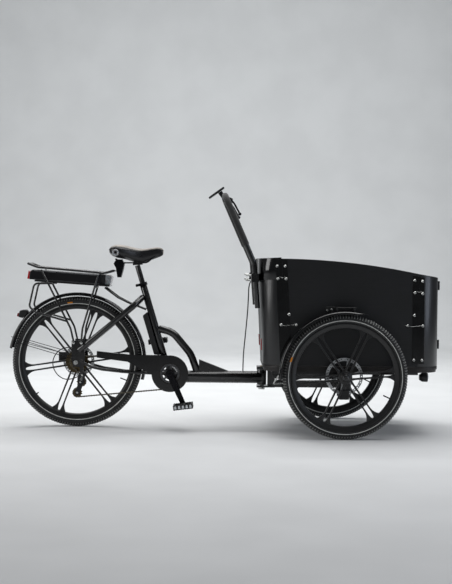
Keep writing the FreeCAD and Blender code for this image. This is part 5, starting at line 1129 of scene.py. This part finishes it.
# A pressed clip joins the bolts of each pair, and a seam runs between the upper ones. Places are in
# metres, and the seams' heights are above the box's floor.
clip_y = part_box("side_panels")[1].y + 2.9 * MM
REAR_SEAM_X, FRONT_SEAM_X, BOX_BOTTOM, CLIP_Z = 0.3173, 0.9563, 0.344, 0.5435
PANEL_LEAN = math.tan(math.radians(3))
for sign in (-1, 1):
    side, y = hand(sign), sign * clip_y
    for number, (x, low, high) in enumerate(((REAR_SEAM_X, 0.431, 0.505), (FRONT_SEAM_X, 0.366, 0.436))):
        x -= PANEL_LEAN * low if number == 0 else 0
        low_z, high_z = BOX_BOTTOM + low, BOX_BOTTOM + high
        wire(f"{side}_strap_seam_{number}", [(x, y, low_z), (x, y, high_z)], 0.9, black_steel, "front_carrier",
             2)
        wire(f"{side}_strap_hook_{number}",
             [(x - 0.012, y, low_z + 0.004), (x, y, low_z - 0.008), (x + 0.014, y, low_z + 0.003)],
             0.9, zinc_plate, "front_carrier", 3)
    for number, (first, last) in enumerate(((0.2945, 0.3625), (0.9095, 0.9735))):
        wire(f"{side}_strap_clip_{number}",
             [(first, y, CLIP_Z), ((2 * first + last) / 3, y, CLIP_Z - 0.0085),
              ((first + 2 * last) / 3, y, CLIP_Z + 0.0055), (last, y, CLIP_Z)],
             0.9, zinc_plate, "front_carrier", 4)
hub_cap = [(0, 0), (0, 15), (-4, 14.5), (-9, 10), (-11, 6), (-11, 0)]
for node, body, sign in (("front_right_tyre", "right_front_wheel", -1),
                         ("front_left_tyre", "left_front_wheel", 1), ("rear_tyre", "rear_wheel", 0)):
    if sign:
        wheel_at = middle(node) + Vector((0, sign * 29.5 * MM, 0))
        make_piece(node.replace("tyre", "hub_cap"), *spun([(-sign * a, r) for a, r in hub_cap], wheel_at,
                                                          steps=40), dark_zinc, body, "steel")
    low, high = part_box(node)
    radius, half = (high.z - low.z) / 2 / MM, (high.y - low.y) / 2 / MM
    inside = radius - 27 if sign else radius - 31
    mark_turn = 162 if sign else 97
    for way in (-1, 1):
        section = [(way * (half - 0.6), inside - 3), (way * (half + 0.2), inside - 3),
                   (way * (half - 1.4), inside + 5), (way * (half - 3), inside + 5)]
        make_piece(f"{node}_amber_mark_{hand(way)}",
                   *spun(section, middle(node), mark_turn - 2.5, mark_turn + 2.5, 6), amber_acrylic, body,
                   "lamp_lens")
leg_bolt = [(0, 0), (0, 7), (-5, 7), (-6, 5.5), (-6, 0)]
for sign in (-1, 1):
    for dx, dz in ((-11, 100), (29, 100)):
        spot = rear_axle_at + MM * Vector((dx, sign * 84, dz))
        make_piece(f"rack_leg_bolt_{hand(sign)}_{'rear' if dx < 0 else 'front'}",
                   *spun([(-sign * a, r) for a, r in leg_bolt], spot, steps=24), zinc_plate, "rear_frame",
                   "steel")
print("small hardware fixed")

# %% Derailleur bolts
# Places are (x, z) from the rear axle, and the face's place across, all in mm.
GEAR_FACE, PULLEY_FACE = -67.4, -56.5
UPPER, LOWER, PULLEY = (33, -64), (24, -100), (6, -155)
for name, (x, z), face_y, size, high, finish in (
        ("upper_knuckle", UPPER, GEAR_FACE, 9, 6, black_steel),
        ("lower_knuckle", LOWER, GEAR_FACE, 10.5, 8, black_steel),
        ("guide_bolt", LOWER, GEAR_FACE - 8, 4.5, 2.5, zinc_plate),
        ("upper_bolt", UPPER, GEAR_FACE - 6, 4.5, 2.5, zinc_plate),
        ("pulley_bolt", PULLEY, PULLEY_FACE, 4.5, 3, zinc_plate)):
    knob = [(0, 0), (0, size), (-high + 1, size), (-high, size - 1.2), (-high, 0)]
    make_piece(f"derailleur_{name}", *spun(knob, rear_axle_at + MM * Vector((x, face_y, z)), steps=32), finish,
               "rear_frame", "dark_steel" if finish is black_steel else "steel")
for number, shift in enumerate((-6, 6)):
    bar = [(x + shift + edge, z) for (x, z), edge in ((UPPER, -2.5), (UPPER, 2.5), (LOWER, 2.5), (LOWER, -2.5))]
    make_piece(f"derailleur_link_{number}", *plate(bar, rear_axle_at, GEAR_FACE - 4, GEAR_FACE), dark_zinc,
               "rear_frame", "steel", edge_mm=1)
coil = []
for t in range(4, 37):
    turn = t * math.pi / 4
    coil.append(rear_axle_at + MM * Vector((33 - 9 * t / 40 + 4.6 * math.cos(turn),
                                            GEAR_FACE - 5.5 + 2 * math.sin(turn), -64 - 36 * t / 40)))
wire("derailleur_spring", coil, 0.8, zinc_plate, "rear_frame", 2)
print("derailleur bolts fixed")
